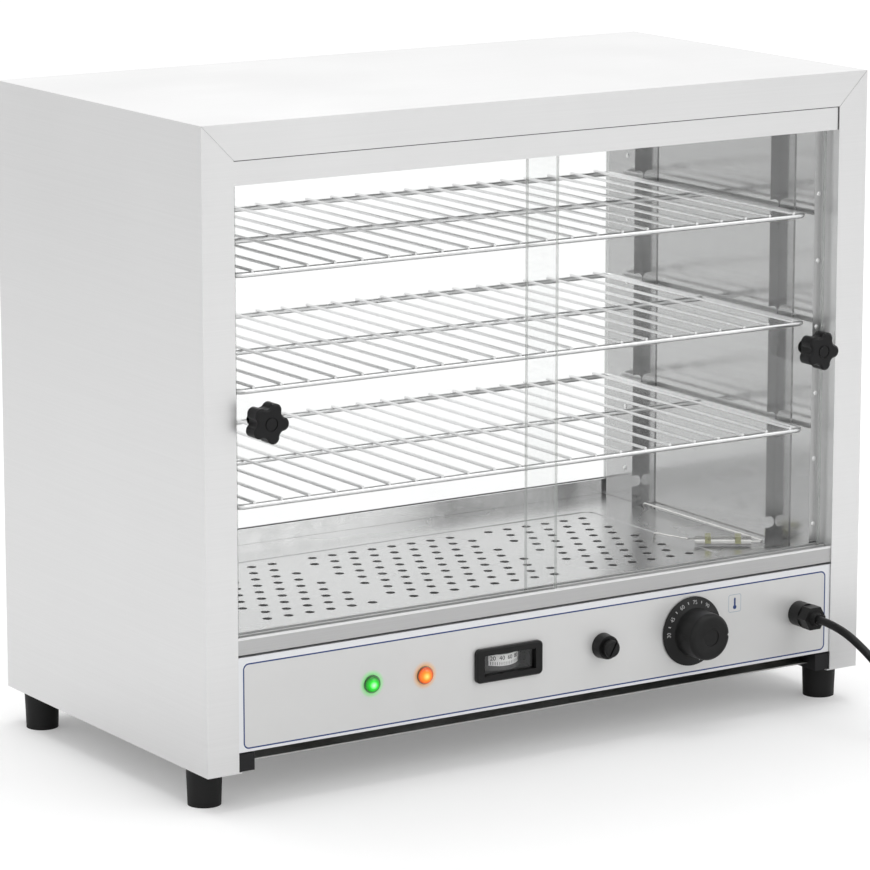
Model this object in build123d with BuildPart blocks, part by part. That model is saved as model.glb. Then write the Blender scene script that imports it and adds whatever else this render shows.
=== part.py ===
from build123d import *
import math
import os

# A heated display case for a shop counter, in millimetres. X runs to the right, Y to the back
# and Z up. The origin is on the counter, under the middle of the case and its controls.

os.makedirs("parts", exist_ok=True)

# Outer casing
case_width = 640.0
case_depth = 335.0
case_height = 512.0
sheet = 1.0
flange_width = 28.5
front_lip_depth = 22.0
rear_lip_depth = 14.0
lip_bottom = 46.0
bottom_return = 31.0
seam_width = 0.6
seam_depth = 0.4
seam_overrun = 6.0

# Feet and the corner blocks that they screw into
foot_height = 30.0
foot_top_radius = 14.5
foot_bottom_radius = 13.4
foot_recess_radius = 7.0
foot_recess_depth = 9.0
foot_inset_x = 15.0
foot_inset_y = 32.0
foot_screw_radius = 3.0
foot_screw_head_radius = 6.0
foot_screw_head_height = 4.0
foot_hole_radius = 3.3
block_width = 42.0
block_length = 49.0
block_height = 14.0
block_wall = 3.0

# Glass and its tracks
face_set_back = 1.5
glass_thickness = 4.0
track_rib = 2.0
track_groove = 6.0
rear_groove = 4.6
sill_height = 13.7
top_track_height = 19.6
bottom_groove_depth = 6.0
top_groove_depth = 14.0
glass_end_gap = 3.5
glass_top_gap = 7.0
door_overlap = 24.0
running_gap = 0.3

# Door knobs
knob_from_edge = 17.0
knob_height = 310.0
knob_radius = 16.5
knob_lobe_radius = 5.3
knob_core_radius = 12.0
knob_lobe_count = 5
knob_lobe_turn = -5.5
knob_blend = 4.0
knob_thickness = 13.8
knob_edge = 1.5
knob_neck_radius = 7.0
knob_neck_length = 9.0
knob_cap_radius = 5.6
knob_cap_groove = 0.8
knob_bore_radius = 2.6
knob_bore_depth = 12.0
knob_screw_radius = 2.5
knob_screw_head_radius = 5.0
knob_screw_head_height = 1.6
washer_thickness = 0.7
washer_radius = 6.0
glass_hole_radius = 3.1

# Sides of the round pieces and holes that stay hidden
hidden_sides = 12

# Heated chamber
liner_inset = 7.5
floor_level = 125.0
floor_rim = 10.0
floor_recess = 0.6
floor_recess_margin_x = 21.0
floor_recess_margin_y = 19.0
floor_recess_corner = 9.0
ceiling_drop = 30.0
ledge_width = 12.0
hole_pitch = 20.0
hole_radius = 4.1
hole_sides = 6
hole_rows = 9
field_from_wall = 64.0
hole_centre_back = 5.0

# Slotted uprights and the wire racks that they carry
upright_flange = 10.5
upright_leg = 20.0
upright_spacing = 197.0
notch_height = 10.0
notch_depth = 9.3
level_count = 4
lowest_level = 145.2
highest_level_drop = 92.0
frame_wire_radius = 2.3
cross_wire_radius = 1.3
frame_wire_sides = 8
cross_wire_sides = 6
cross_wire_pitch = 25.0
cross_wire_from_end = 13.0
rack_side_gap = 7.5
rack_front_gap = 24.6
rack_rear_gap = 24.6
rack_corner = 7.0
weld_depth = 0.35
seat_gap = 0.1

# Control panel and the base
panel_bottom = 46.2
panel_top = 122.6
panel_sheet = 1.2
panel_return = 12.0
rear_panel_return = 8.0
panel_side_gap = 0.2
pan_level = 35.5
pan_front_set_back = 12.0
pan_rim = 14.0
vent_length = 52.0
vent_width = 5.0
vent_columns = 5
vent_rows = 3
vent_pitch_x = 92.0
vent_pitch_y = 70.0

# Places of the controls, each from the one to its right and the gland from the panel's end
gland_from_edge = 33.5
dial_from_gland = 112.0
reset_from_dial = 90.0
thermometer_from_reset = 94.0
orange_lamp_from_thermometer = 80.0
lamp_pitch = 50.0

# Signal lamps
lens_radius = 6.4
lens_height = 5.5
lens_bevel = 2.4
lamp_bezel_radius = 7.3
lamp_bezel_height = 1.4
lamp_hole_radius = 5.6
lamp_body_radius = 5.0
lamp_body_length = 24.0

# Thermometer
bezel_width = 64.6
bezel_height = 28.2
bezel_corner = 4.0
bezel_thickness = 4.2
window_width = 50.0
window_height = 16.8
window_pane = 1.2
window_rebate = 2.0
meter_width = 60.0
meter_height = 24.4
meter_depth = 53.0
meter_wall = 1.2
drum_radius = 24.0
drum_set_back = 2.3
drum_rim = 3.0
drum_recess = 9.0
drum_spindle_radius = 1.2
drum_boss_radius = 3.5
drum_boss_height = 3.0
spindle_end_gap = 0.2
pivot_clearance = 0.05

# Reset button and the limiter behind it
reset_bezel_radius = 10.8
reset_bezel_top_radius = 9.8
reset_bezel_height = 9.0
reset_button_radius = 7.2
reset_button_gap = 0.3
reset_button_reach = 15.5
reset_button_back = 5.0
reset_floor = 1.5
reset_stem_radius = 2.5
reset_stem_length = 14.0
reset_slot_width = 1.6
reset_slot_depth = 1.2
limiter_size = 34.0
limiter_depth = 26.0
limiter_bore_depth = 16.0

# Thermostat and its dial knob
dial_length = 28.0
dial_back_gap = 0.5
skirt_radius = 29.5
skirt_rim = 1.6
skirt_rise = 2.6
grip_radius = 20.2
grip_face_radius = 19.8
grip_flutes = 2
grip_flute_radius = 3.2
grip_flute_depth = 0.9
grip_face_edge = 3.0
grip_face_recess = 0.8
grip_face_recess_radius = 7.5
shaft_radius = 3.0
shaft_knob_depth = 22.0
shaft_body_depth = 14.0
thermostat_size = 44.0
thermostat_depth = 30.0
panel_shaft_hole = 4.0

# Cable gland
gland_length = 28.5
gland_body_radius = 10.6
gland_body_length = 13.0
gland_nut_flats = 19.0
gland_nut_length = 11.0
gland_nose_radius = 6.4
gland_tip_radius = 4.6
gland_thread_radius = 7.5
gland_thread_length = 12.0
gland_locknut_flats = 22.0
gland_locknut_height = 5.0

# Parts in the base
terminal_width = 46.0
terminal_depth = 22.0
terminal_height = 20.0
terminal_from_panel = 60.0
terminal_poles = 5
element_radius = 4.0
element_sides = 10
element_level = 92.0
element_spread = 84.0
element_from_wall = 79.0
element_bracket_sheet = 1.5
element_bracket_margin = 12.0
element_bracket_foot = 14.0
element_bracket_from_end = 65.0

# Sensor bulbs on the chamber floor
bulb_radius = 3.0
bulb_pitch = 6.6
capillary_radius = 0.9
capillary_sides = 6
bulb_wall_end_gap = 16.0
bulb_wall_end_back = -86.0
bulb_far_end_gap = 56.0
bulb_far_end_back = -58.0
bulb_rise = 1.6
clip_width = 5.0
clip_sheet = 0.8
clip_lip = 1.4
clip_inset = 9.0
capillary_wall_gap = 5.4
capillary_rear_back = 88.0
capillary_front_back = -97.0
capillary_far_inset = 14.0
capillary_far_back = -14.0
capillary_bend = 5.0

# Supply cord, its put-away coil and its plug
cord_radius = 3.5
coil_pitch = 7.6
coil_turns_in = 3
coil_inner_radius = 24.8
coil_centre_x = 350.0
coil_centre_front = 142.0
cord_sides = 8
tie_corner = 3.0
tie_thickness = 0.7
tie_gap = 0.3
tie_width = 9.0
plug_body_radius = 18.5
plug_flat = 15.5
plug_face_length = 14.0
plug_grip_length = 24.0
plug_grip_radius = 11.0
plug_sleeve_length = 24.0
plug_sleeve_radius = 5.0
plug_sleeve_flare = 1.5
plug_pin_radius = 2.4
plug_pin_length = 19.0
plug_pin_spacing = 19.0
plug_pin_seat = 6.0

# Places worked out from the sizes above
reach = max(dial_length + dial_back_gap, gland_length) - face_set_back
front_y = -(case_depth - reach) / 2
rear_y = front_y + case_depth
middle_y = (front_y + rear_y) / 2
bottom_z = foot_height
top_z = bottom_z + case_height
half_width = case_width / 2
opening_half = half_width - flange_width
opening_top = top_z - flange_width
face_y = front_y + face_set_back
sill_top = panel_top + 2.0 + sill_height
sill_bottom = sill_top - sill_height
track_bottom = opening_top - top_track_height
track_depth = 3 * track_rib + 2 * track_groove
front_glass_y = face_y + track_rib + (track_groove - glass_thickness) / 2
back_glass_y = front_glass_y + track_rib + track_groove
glass_bottom = sill_top - bottom_groove_depth + running_gap
glass_top = track_bottom + glass_top_gap
glass_half = opening_half - glass_end_gap
rear_channel_depth = 2 * track_rib + rear_groove
rear_channel_y = rear_y - face_set_back - rear_channel_depth
control_z = (panel_bottom + panel_top) / 2
gland_x = opening_half - gland_from_edge
dial_x = gland_x - dial_from_gland
reset_x = dial_x - reset_from_dial
thermometer_x = reset_x - thermometer_from_reset
orange_lamp_x = thermometer_x - orange_lamp_from_thermometer
green_lamp_x = orange_lamp_x - lamp_pitch
liner_half_width = opening_half - liner_inset
rack_half_width = liner_half_width - rack_side_gap
ceiling_level = top_z - ceiling_drop
panel_back = face_y + panel_sheet
rack_front = front_y + rack_front_gap
rack_rear = rear_y - rack_rear_gap
level_pitch = (ceiling_level - highest_level_drop - lowest_level) / (level_count - 1)
notch_bottoms = [lowest_level - frame_wire_radius + level * level_pitch for level in range(level_count)]
rack_levels = [z + frame_wire_radius + seat_gap for z in notch_bottoms[1:]]


def facing(y):
    """A plane across the case at depth y: its own x is X and its own y is Z, seen from the front."""
    return Plane((0, y, 0), x_dir=(1, 0, 0), z_dir=(0, -1, 0))


def across(x):
    """A plane along the case at width x: its own x is Y and its own y is Z."""
    return Plane((x, 0, 0), x_dir=(0, 1, 0), z_dir=(1, 0, 0))


def level(z):
    """A level plane at height z."""
    return Plane.XY.offset(z)


def span(low_x, low_y, high_x, high_y, mode=Mode.ADD):
    """A rectangle in the open sketch from one corner to the other."""
    with Locations(((low_x + high_x) / 2, (low_y + high_y) / 2)):
        Rectangle(high_x - low_x, high_y - low_y, mode=mode)


def hidden_round(radius, mode=Mode.ADD):
    """A circle of few sides in the open sketch, for pieces and holes that stay hidden."""
    RegularPolygon(radius, hidden_sides, mode=mode)


def cone(plane, height, start_radius, end_radius):
    """A cone that stands on a plane, wide or narrow end first."""
    with Locations(plane):
        Cone(start_radius, end_radius, height, align=(Align.CENTER, Align.CENTER, Align.MIN))


# Outer casing: one folded wrapper with mitred flanges, lips behind them and returns for the feet
with BuildPart() as outer_casing:
    with BuildSketch(facing(front_y)):
        span(-half_width, bottom_z, half_width, top_z)
        span(-half_width + sheet, bottom_z + sheet, half_width - sheet, top_z - sheet, Mode.SUBTRACT)
        return_edge = half_width - bottom_return
        span(-return_edge, bottom_z, return_edge, bottom_z + sheet, Mode.SUBTRACT)
    extrude(amount=-case_depth)
    for outer_y, inward, lip_depth in ((front_y, -1, front_lip_depth), (rear_y, 1, rear_lip_depth)):
        with BuildSketch(facing(outer_y)):
            span(-half_width, bottom_z, half_width, top_z)
            span(-opening_half, bottom_z, opening_half, opening_top, Mode.SUBTRACT)
        extrude(amount=inward * sheet)
        with BuildSketch(facing(outer_y)):
            span(-opening_half - sheet, lip_bottom, opening_half + sheet, opening_top + sheet)
            span(-opening_half, lip_bottom, opening_half, opening_top, Mode.SUBTRACT)
        extrude(amount=inward * lip_depth)
        with BuildSketch(facing(outer_y)):
            for side in (-1, 1):
                with Locations((side * (half_width - flange_width / 2), top_z - flange_width / 2)):
                    Rectangle(flange_width * math.sqrt(2) + seam_overrun, seam_width, rotation=side * 45)
        extrude(amount=inward * seam_depth, mode=Mode.SUBTRACT)
    with BuildSketch(level(bottom_z)):
        with Locations((0, middle_y)):
            with GridLocations(case_width - 2 * foot_inset_x, case_depth - 2 * foot_inset_y, 2, 2):
                hidden_round(foot_hole_radius)
    extrude(amount=sheet, mode=Mode.SUBTRACT)
outer_casing.part.label = "outer_casing"
export_step(outer_casing.part, "parts/outer_casing.step")

# Door tracks: two grooves each, the upper ones deeper so that a pane lifts out
for name, low_z, high_z, groove_depth, from_top in (
    ("bottom_door_track", sill_bottom, sill_top, bottom_groove_depth, True),
    ("top_door_track", track_bottom, opening_top, top_groove_depth, False),
):
    with BuildPart() as door_track:
        with BuildSketch(across(-opening_half)):
            span(face_y, low_z, face_y + track_depth, high_z)
            for groove in range(2):
                groove_y = face_y + track_rib + groove * (track_rib + track_groove)
                groove_low = high_z - groove_depth if from_top else low_z
                span(groove_y, groove_low, groove_y + track_groove, groove_low + groove_depth, Mode.SUBTRACT)
        extrude(amount=2 * opening_half)
    door_track.part.label = name
    export_step(door_track.part, f"parts/{name}.step")

# Rear channels and the fixed rear pane
for name, low_z, high_z, groove_depth, from_top in (
    ("rear_bottom_channel", sill_bottom, sill_top, bottom_groove_depth, True),
    ("rear_top_channel", track_bottom, opening_top, top_groove_depth, False),
):
    with BuildPart() as rear_channel:
        with BuildSketch(across(-opening_half)):
            span(rear_channel_y, low_z, rear_channel_y + rear_channel_depth, high_z)
            groove_y = rear_channel_y + track_rib
            groove_low = high_z - groove_depth if from_top else low_z
            span(groove_y, groove_low, groove_y + rear_groove, groove_low + groove_depth, Mode.SUBTRACT)
        extrude(amount=2 * opening_half)
    rear_channel.part.label = name
    export_step(rear_channel.part, f"parts/{name}.step")

rear_glass_y = rear_channel_y + track_rib + (rear_groove - glass_thickness) / 2
with BuildPart() as rear_glass:
    with BuildSketch(facing(rear_glass_y)):
        span(-glass_half, sill_top - bottom_groove_depth, glass_half, glass_top)
    extrude(amount=-glass_thickness)
rear_glass.part.label = "rear_glass"
export_step(rear_glass.part, "parts/rear_glass.step")

# Sliding glass doors: the left one in the front groove, the right one behind it
for side, name, pane_y in ((-1, "left", front_glass_y), (1, "right", back_glass_y)):
    knob_x = side * (glass_half - knob_from_edge)
    with BuildPart() as pane:
        with BuildSketch(facing(pane_y)):
            inner_edge = -side * door_overlap / 2
            low_x, high_x = sorted((inner_edge, side * glass_half))
            span(low_x, glass_bottom, high_x, glass_top)
            with Locations((knob_x, knob_height)):
                Circle(glass_hole_radius, mode=Mode.SUBTRACT)
        extrude(amount=-glass_thickness)
    pane.part.label = f"{name}_door_glass"
    export_step(pane.part, f"parts/{name}_door_glass.step")

    # Star knob: a neck on a washer, a lobed grip and a ring round its cap
    knob_plane = Plane((knob_x, pane_y - washer_thickness, knob_height), x_dir=(1, 0, 0), z_dir=(0, -1, 0))
    with BuildPart() as star_knob:
        with BuildSketch(knob_plane):
            Circle(knob_neck_radius)
        extrude(amount=knob_neck_length)
        with BuildSketch(knob_plane.offset(knob_neck_length)):
            Circle(knob_core_radius)
            with PolarLocations(knob_radius - knob_lobe_radius, knob_lobe_count, start_angle=knob_lobe_turn):
                Circle(knob_lobe_radius)
            fillet(vertices(), knob_blend)
        lobes = extrude(amount=knob_thickness)
        chamfer(faces().sort_by(Axis.Y)[0].edges(), knob_edge)
        with BuildSketch(knob_plane.offset(knob_neck_length + knob_thickness)):
            Circle(knob_cap_radius)
            Circle(knob_cap_radius - knob_cap_groove, mode=Mode.SUBTRACT)
        extrude(amount=-knob_cap_groove, mode=Mode.SUBTRACT)
        with BuildSketch(knob_plane):
            hidden_round(knob_bore_radius)
        extrude(amount=knob_bore_depth, mode=Mode.SUBTRACT)
    star_knob.part.label = f"{name}_door_knob"
    export_step(star_knob.part, f"parts/{name}_door_knob.step")

    # Screw from behind the pane, with a washer on each face of the glass
    with BuildPart() as knob_screw:
        head_plane = knob_plane.offset(-2 * washer_thickness - glass_thickness)
        with BuildSketch(head_plane):
            hidden_round(knob_screw_head_radius)
        extrude(amount=-knob_screw_head_height)
        with BuildSketch(head_plane):
            hidden_round(knob_screw_radius)
        extrude(amount=2 * washer_thickness + glass_thickness + knob_bore_depth - 1)
    knob_screw.part.label = f"{name}_knob_screw"
    export_step(knob_screw.part, f"parts/{name}_knob_screw.step")
    with BuildPart() as knob_washers:
        for start in (-washer_thickness, -2 * washer_thickness - glass_thickness):
            with BuildSketch(knob_plane.offset(start)):
                hidden_round(washer_radius)
                hidden_round(knob_bore_radius, Mode.SUBTRACT)
            extrude(amount=washer_thickness)
    knob_washers.part.label = f"{name}_knob_washers"
    export_step(knob_washers.part, f"parts/{name}_knob_washers.step")

# Side liners: polished walls folded out to the casing's lips, with a ledge under the floor
ledge_top = floor_level - floor_rim
for side, name in ((-1, "left_liner"), (1, "right_liner")):
    wall_in = side * liner_half_width
    wall_out = side * (liner_half_width + sheet)
    lip_x = side * (opening_half + sheet)
    liner_front = front_y + front_lip_depth
    liner_rear = rear_y - rear_lip_depth
    with BuildPart() as liner:
        with BuildSketch(level(ledge_top - sheet)):
            span(min(wall_in, wall_out), liner_front, max(wall_in, wall_out), liner_rear)
            span(min(wall_in, lip_x), liner_front, max(wall_in, lip_x), liner_front + sheet)
            span(min(wall_in, lip_x), liner_rear - sheet, max(wall_in, lip_x), liner_rear)
        extrude(amount=ceiling_level - ledge_top + sheet)
        with BuildSketch(level(ledge_top - sheet)):
            ledge_in = wall_in - side * ledge_width
            low_x, high_x = sorted((ledge_in, wall_in))
            span(low_x, liner_front + 2 * sheet, high_x, liner_rear - 2 * sheet)
        extrude(amount=sheet)
    liner.part.label = name
    export_step(liner.part, f"parts/{name}.step")

with BuildPart() as ceiling_liner:
    with BuildSketch(level(ceiling_level)):
        ceiling_half = liner_half_width + sheet
        span(-ceiling_half, face_y + track_depth + running_gap, ceiling_half, rear_channel_y - running_gap)
    extrude(amount=sheet)
ceiling_liner.part.label = "ceiling_liner"
export_step(ceiling_liner.part, "parts/ceiling_liner.step")

# Chamber floor: a folded tray turned over, with a pressed field of staggered air holes
floor_front = face_y + track_depth + running_gap
floor_rear = rear_channel_y - running_gap
floor_half = liner_half_width - running_gap
long_row_holes = 2 * round((liner_half_width - field_from_wall) / hole_pitch)
field_half_x = (long_row_holes - 1) * hole_pitch / 2 + floor_recess_margin_x
field_half_y = (hole_rows - 1) * hole_pitch / 2 + floor_recess_margin_y
field_y = middle_y + hole_centre_back
capillary_far_x = field_half_x - capillary_far_inset
capillary_wall_x = liner_half_width - capillary_wall_gap
hole_places = []
for row in range(hole_rows):
    short_row = row % 2
    count = long_row_holes - short_row
    left_out = 5.0 if short_row else 4.5
    for column in range(count):
        steps = column - (count - 1) / 2
        if abs(steps) != left_out:
            hole_places.append((steps * hole_pitch, field_y + (row - (hole_rows - 1) / 2) * hole_pitch))
with BuildPart() as perforated_floor:
    with BuildSketch(level(floor_level)):
        span(-floor_half, floor_front, floor_half, floor_rear)
        with Locations((0, field_y)):
            RectangleRounded(2 * field_half_x, 2 * field_half_y, floor_recess_corner, mode=Mode.SUBTRACT)
    extrude(amount=-sheet)
    with BuildSketch(level(floor_level)):
        span(-floor_half, floor_front, floor_half, floor_rear)
        rim_in = floor_half - sheet
        span(-rim_in, floor_front + sheet, rim_in, floor_rear - sheet, Mode.SUBTRACT)
    extrude(amount=-floor_rim)
    with BuildSketch(level(floor_level)):
        with Locations((capillary_wall_x, middle_y + capillary_rear_back)):
            Circle(2 * capillary_radius)
    extrude(amount=-sheet, mode=Mode.SUBTRACT)
    field_z = floor_level - floor_recess
    with BuildSketch(mode=Mode.PRIVATE) as hole_outline:
        RegularPolygon(hole_radius, hole_sides, rotation=180 / hole_sides)
    with BuildSketch(Plane((0, field_y, 0)), mode=Mode.PRIVATE) as field_outline:
        RectangleRounded(2 * (field_half_x + sheet), 2 * (field_half_y + sheet), floor_recess_corner + sheet)
    hole = hole_outline.sketch.face().outer_wire()
    holes = [hole.moved(Location((x, y, field_z))) for x, y in hole_places]
    with BuildSketch(mode=Mode.PRIVATE) as capillary_outline:
        Circle(2 * capillary_radius)
    capillary_hole = capillary_outline.sketch.face().outer_wire()
    holes.append(capillary_hole.moved(Location((capillary_far_x, middle_y + capillary_far_back, field_z))))
    add(Face(field_outline.sketch.face().outer_wire().moved(Location((0, 0, field_z))), holes))
    extrude(amount=-sheet, clean=False)
perforated_floor.part.label = "perforated_floor"
export_step(perforated_floor.part, "parts/perforated_floor.step")

# Slotted uprights: angles on the liners, notched to hold the racks at four levels
for side, side_name in ((-1, "left"), (1, "right")):
    for fold_y, end_name in (
        (middle_y - upright_spacing / 2, "front"),
        (middle_y + upright_spacing / 2, "rear"),
    ):
        wall_x = side * liner_half_width
        edge_x = wall_x - side * upright_flange
        with BuildPart() as slotted_upright:
            with BuildSketch(level(floor_level)):
                leg_x = wall_x - side * sheet
                span(min(wall_x, leg_x), fold_y - upright_leg, max(wall_x, leg_x), fold_y + sheet)
                span(min(wall_x, edge_x), fold_y, max(wall_x, edge_x), fold_y + sheet)
            extrude(amount=ceiling_level - floor_level)
            with BuildSketch(facing(fold_y)):
                for notch_bottom in notch_bottoms:
                    end_radius = notch_height / 2
                    round_x = edge_x + side * (notch_depth - end_radius)
                    with Locations((round_x, notch_bottom + end_radius)):
                        Circle(end_radius)
                    open_x = edge_x - side * sheet
                    low_x, high_x = sorted((open_x, round_x))
                    span(low_x, notch_bottom, high_x, notch_bottom + notch_height)
            extrude(amount=-sheet, mode=Mode.SUBTRACT)
        slotted_upright.part.label = f"{end_name}_{side_name}_upright"
        export_step(slotted_upright.part, f"parts/{end_name}_{side_name}_upright.step")

# Wire racks: a bent frame, a middle bar and cross wires welded on top
for rack_z, name in zip(rack_levels, ("bottom_rack", "middle_rack", "top_rack")):
    with BuildPart() as rack:
        with BuildLine() as frame_line:
            FilletPolyline(
                (0, rack_front, rack_z),
                (rack_half_width, rack_front, rack_z),
                (rack_half_width, rack_rear, rack_z),
                (0, rack_rear, rack_z),
                radius=rack_corner,
            )
        with BuildSketch(Plane((0, rack_front, rack_z), x_dir=(0, 1, 0), z_dir=(1, 0, 0))):
            RegularPolygon(frame_wire_radius, frame_wire_sides, rotation=180 / frame_wire_sides)
        sweep(path=frame_line.wires()[0])
        mirror(about=Plane.YZ)
        with BuildSketch(across(-rack_half_width)):
            with Locations((middle_y, rack_z)):
                RegularPolygon(frame_wire_radius, frame_wire_sides, rotation=180 / frame_wire_sides)
        extrude(amount=2 * rack_half_width)
        flat_top = frame_wire_radius * math.cos(math.pi / frame_wire_sides)
        flat_bottom = cross_wire_radius * math.cos(math.pi / cross_wire_sides)
        cross_z = rack_z + flat_top + flat_bottom - weld_depth
        cross_wires_per_side = int((rack_half_width - cross_wire_from_end) / cross_wire_pitch + 0.5)
        with BuildSketch(facing(rack_front - frame_wire_radius)):
            with Locations((0, cross_z)):
                with GridLocations(cross_wire_pitch, 1, 2 * cross_wires_per_side, 1):
                    RegularPolygon(cross_wire_radius, cross_wire_sides)
        extrude(amount=-(rack_rear - rack_front + 2 * frame_wire_radius))
    rack.part.label = name
    export_step(rack.part, f"parts/{name}.step")

# Base pan: notched round the corner blocks, with air slots under the heating element
pan_half = half_width - sheet
pan_front = front_y + pan_front_set_back
pan_rear = rear_y - face_set_back - panel_sheet
block_in = half_width - sheet - block_width
block_front = front_y + sheet
block_rear = rear_y - sheet
with BuildPart() as base_pan:
    with BuildSketch(level(pan_level)):
        span(-pan_half, pan_front, pan_half, pan_rear)
    extrude(amount=pan_rim)
    with BuildSketch(level(pan_level + sheet)):
        span(-pan_half + sheet, pan_front + sheet, pan_half - sheet, pan_rear - sheet)
    extrude(amount=pan_rim, mode=Mode.SUBTRACT)
    with BuildSketch(level(pan_level + sheet)):
        span(-pan_half, pan_front, pan_half, pan_front + sheet)
    extrude(amount=pan_rim, mode=Mode.SUBTRACT)
    with BuildSketch(level(pan_level)):
        for side in (-1, 1):
            low_x, high_x = sorted((side * block_in, side * pan_half))
            span(low_x, pan_front, high_x, block_front + block_length)
            span(low_x, block_rear - block_length, high_x, pan_rear)
        with Locations((0, middle_y)):
            with GridLocations(vent_pitch_x, vent_pitch_y, vent_columns, vent_rows):
                Rectangle(vent_length, vent_width)
    extrude(amount=pan_rim, mode=Mode.SUBTRACT)
base_pan.part.label = "base_pan"
export_step(base_pan.part, "parts/base_pan.step")

# Corner blocks: black mouldings that close the casing's corners and take the foot screws
foot_places = GridLocations(case_width - 2 * foot_inset_x, case_depth - 2 * foot_inset_y, 2, 2)
with BuildPart() as corner_blocks:
    for side in (-1, 1):
        for low_y, high_y in ((block_front, block_front + block_length), (block_rear - block_length, block_rear)):
            low_x, high_x = sorted((side * block_in, side * pan_half))
            with BuildSketch(level(bottom_z + sheet)):
                span(low_x, low_y, high_x, high_y)
            extrude(amount=block_height)
            with BuildSketch(level(bottom_z + sheet + block_wall)):
                span(low_x + block_wall, low_y + block_wall, high_x - block_wall, high_y - block_wall)
            extrude(amount=block_height, mode=Mode.SUBTRACT)
    with BuildSketch(level(bottom_z + sheet)):
        with Locations((0, middle_y)):
            with Locations(*foot_places.locations):
                hidden_round(foot_hole_radius)
    extrude(amount=block_wall, mode=Mode.SUBTRACT)
corner_blocks.part.label = "corner_blocks"
export_step(corner_blocks.part, "parts/corner_blocks.step")

with BuildPart() as feet:
    for place in foot_places.locations:
        foot_x, foot_y = place.position.X, place.position.Y + middle_y
        cone(Plane((foot_x, foot_y, 0)), foot_height, foot_bottom_radius, foot_top_radius)
        with BuildSketch(Plane((foot_x, foot_y, 0), x_dir=(1, 0, 0), z_dir=(0, 0, 1))):
            hidden_round(foot_recess_radius)
        extrude(amount=foot_recess_depth, mode=Mode.SUBTRACT)
        with BuildSketch(Plane((foot_x, foot_y, 0), x_dir=(1, 0, 0), z_dir=(0, 0, 1))):
            hidden_round(foot_hole_radius)
        extrude(amount=foot_height, mode=Mode.SUBTRACT)
feet.part.label = "feet"
export_step(feet.part, "parts/feet.step")

with BuildPart() as foot_screws:
    for place in foot_places.locations:
        foot_x, foot_y = place.position.X, place.position.Y + middle_y
        head_z = foot_recess_depth - foot_screw_head_height
        with BuildSketch(Plane((foot_x, foot_y, head_z), x_dir=(1, 0, 0), z_dir=(0, 0, 1))):
            hidden_round(foot_screw_head_radius)
        extrude(amount=foot_screw_head_height)
        with BuildSketch(Plane((foot_x, foot_y, head_z), x_dir=(1, 0, 0), z_dir=(0, 0, 1))):
            hidden_round(foot_screw_radius)
        extrude(amount=bottom_z + block_height - head_z)
foot_screws.part.label = "foot_screws"
export_step(foot_screws.part, "parts/foot_screws.step")

# Rear panel under the rear pane
with BuildPart() as rear_panel:
    with BuildSketch(across(-opening_half + panel_side_gap)):
        outer_y = rear_y - face_set_back
        span(outer_y - panel_sheet, panel_bottom, outer_y, panel_top)
        span(outer_y - rear_panel_return, panel_top - panel_sheet, outer_y, panel_top)
    extrude(amount=2 * (opening_half - panel_side_gap))
rear_panel.part.label = "rear_panel"
export_step(rear_panel.part, "parts/rear_panel.step")

# Control panel, with a hole for each control
with BuildPart() as control_panel:
    with BuildSketch(across(-opening_half + panel_side_gap)):
        span(face_y, panel_bottom, face_y + panel_sheet, panel_top)
        span(face_y, panel_top - panel_sheet, face_y + panel_return, panel_top)
        span(face_y, panel_bottom, face_y + panel_return, panel_bottom + panel_sheet)
    extrude(amount=2 * (opening_half - panel_side_gap))
    with BuildSketch(facing(face_y)):
        with Locations((green_lamp_x, control_z), (orange_lamp_x, control_z)):
            Circle(lamp_hole_radius)
        with Locations((thermometer_x, control_z)):
            Rectangle(meter_width + running_gap, meter_height + running_gap)
        with Locations((reset_x, control_z)):
            Circle(reset_stem_radius + running_gap)
        with Locations((dial_x, control_z)):
            Circle(panel_shaft_hole)
        with Locations((gland_x, control_z)):
            Circle(gland_thread_radius + running_gap)
    extrude(amount=-panel_sheet, mode=Mode.SUBTRACT)
control_panel.part.label = "control_panel"
export_step(control_panel.part, "parts/control_panel.step")


def at_control(x, forward=0.0):
    """A plane on the panel's face at a control, looking out, set forward of the panel."""
    return Plane((x, face_y - forward, control_z), x_dir=(1, 0, 0), z_dir=(0, -1, 0))


# Signal lamps
for lamp_x, name in ((green_lamp_x, "green_lamp_lens"), (orange_lamp_x, "orange_lamp_lens")):
    with BuildPart() as lamp_lens:
        with BuildSketch(at_control(lamp_x)):
            Circle(lens_radius)
        extrude(amount=lens_height)
        chamfer(faces().sort_by(Axis.Y)[0].edges(), lens_bevel)
    lamp_lens.part.label = name
    export_step(lamp_lens.part, f"parts/{name}.step")

with BuildPart() as lamp_bezels:
    for lamp_x in (green_lamp_x, orange_lamp_x):
        with BuildSketch(at_control(lamp_x)):
            Circle(lamp_bezel_radius)
            Circle(lens_radius, mode=Mode.SUBTRACT)
        extrude(amount=lamp_bezel_height)
lamp_bezels.part.label = "lamp_bezels"
export_step(lamp_bezels.part, "parts/lamp_bezels.step")

with BuildPart() as lamp_bodies:
    for lamp_x in (green_lamp_x, orange_lamp_x):
        with BuildSketch(at_control(lamp_x)):
            hidden_round(lamp_body_radius)
        extrude(amount=-lamp_body_length)
lamp_bodies.part.label = "lamp_bodies"
export_step(lamp_bodies.part, "parts/lamp_bodies.step")

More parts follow.
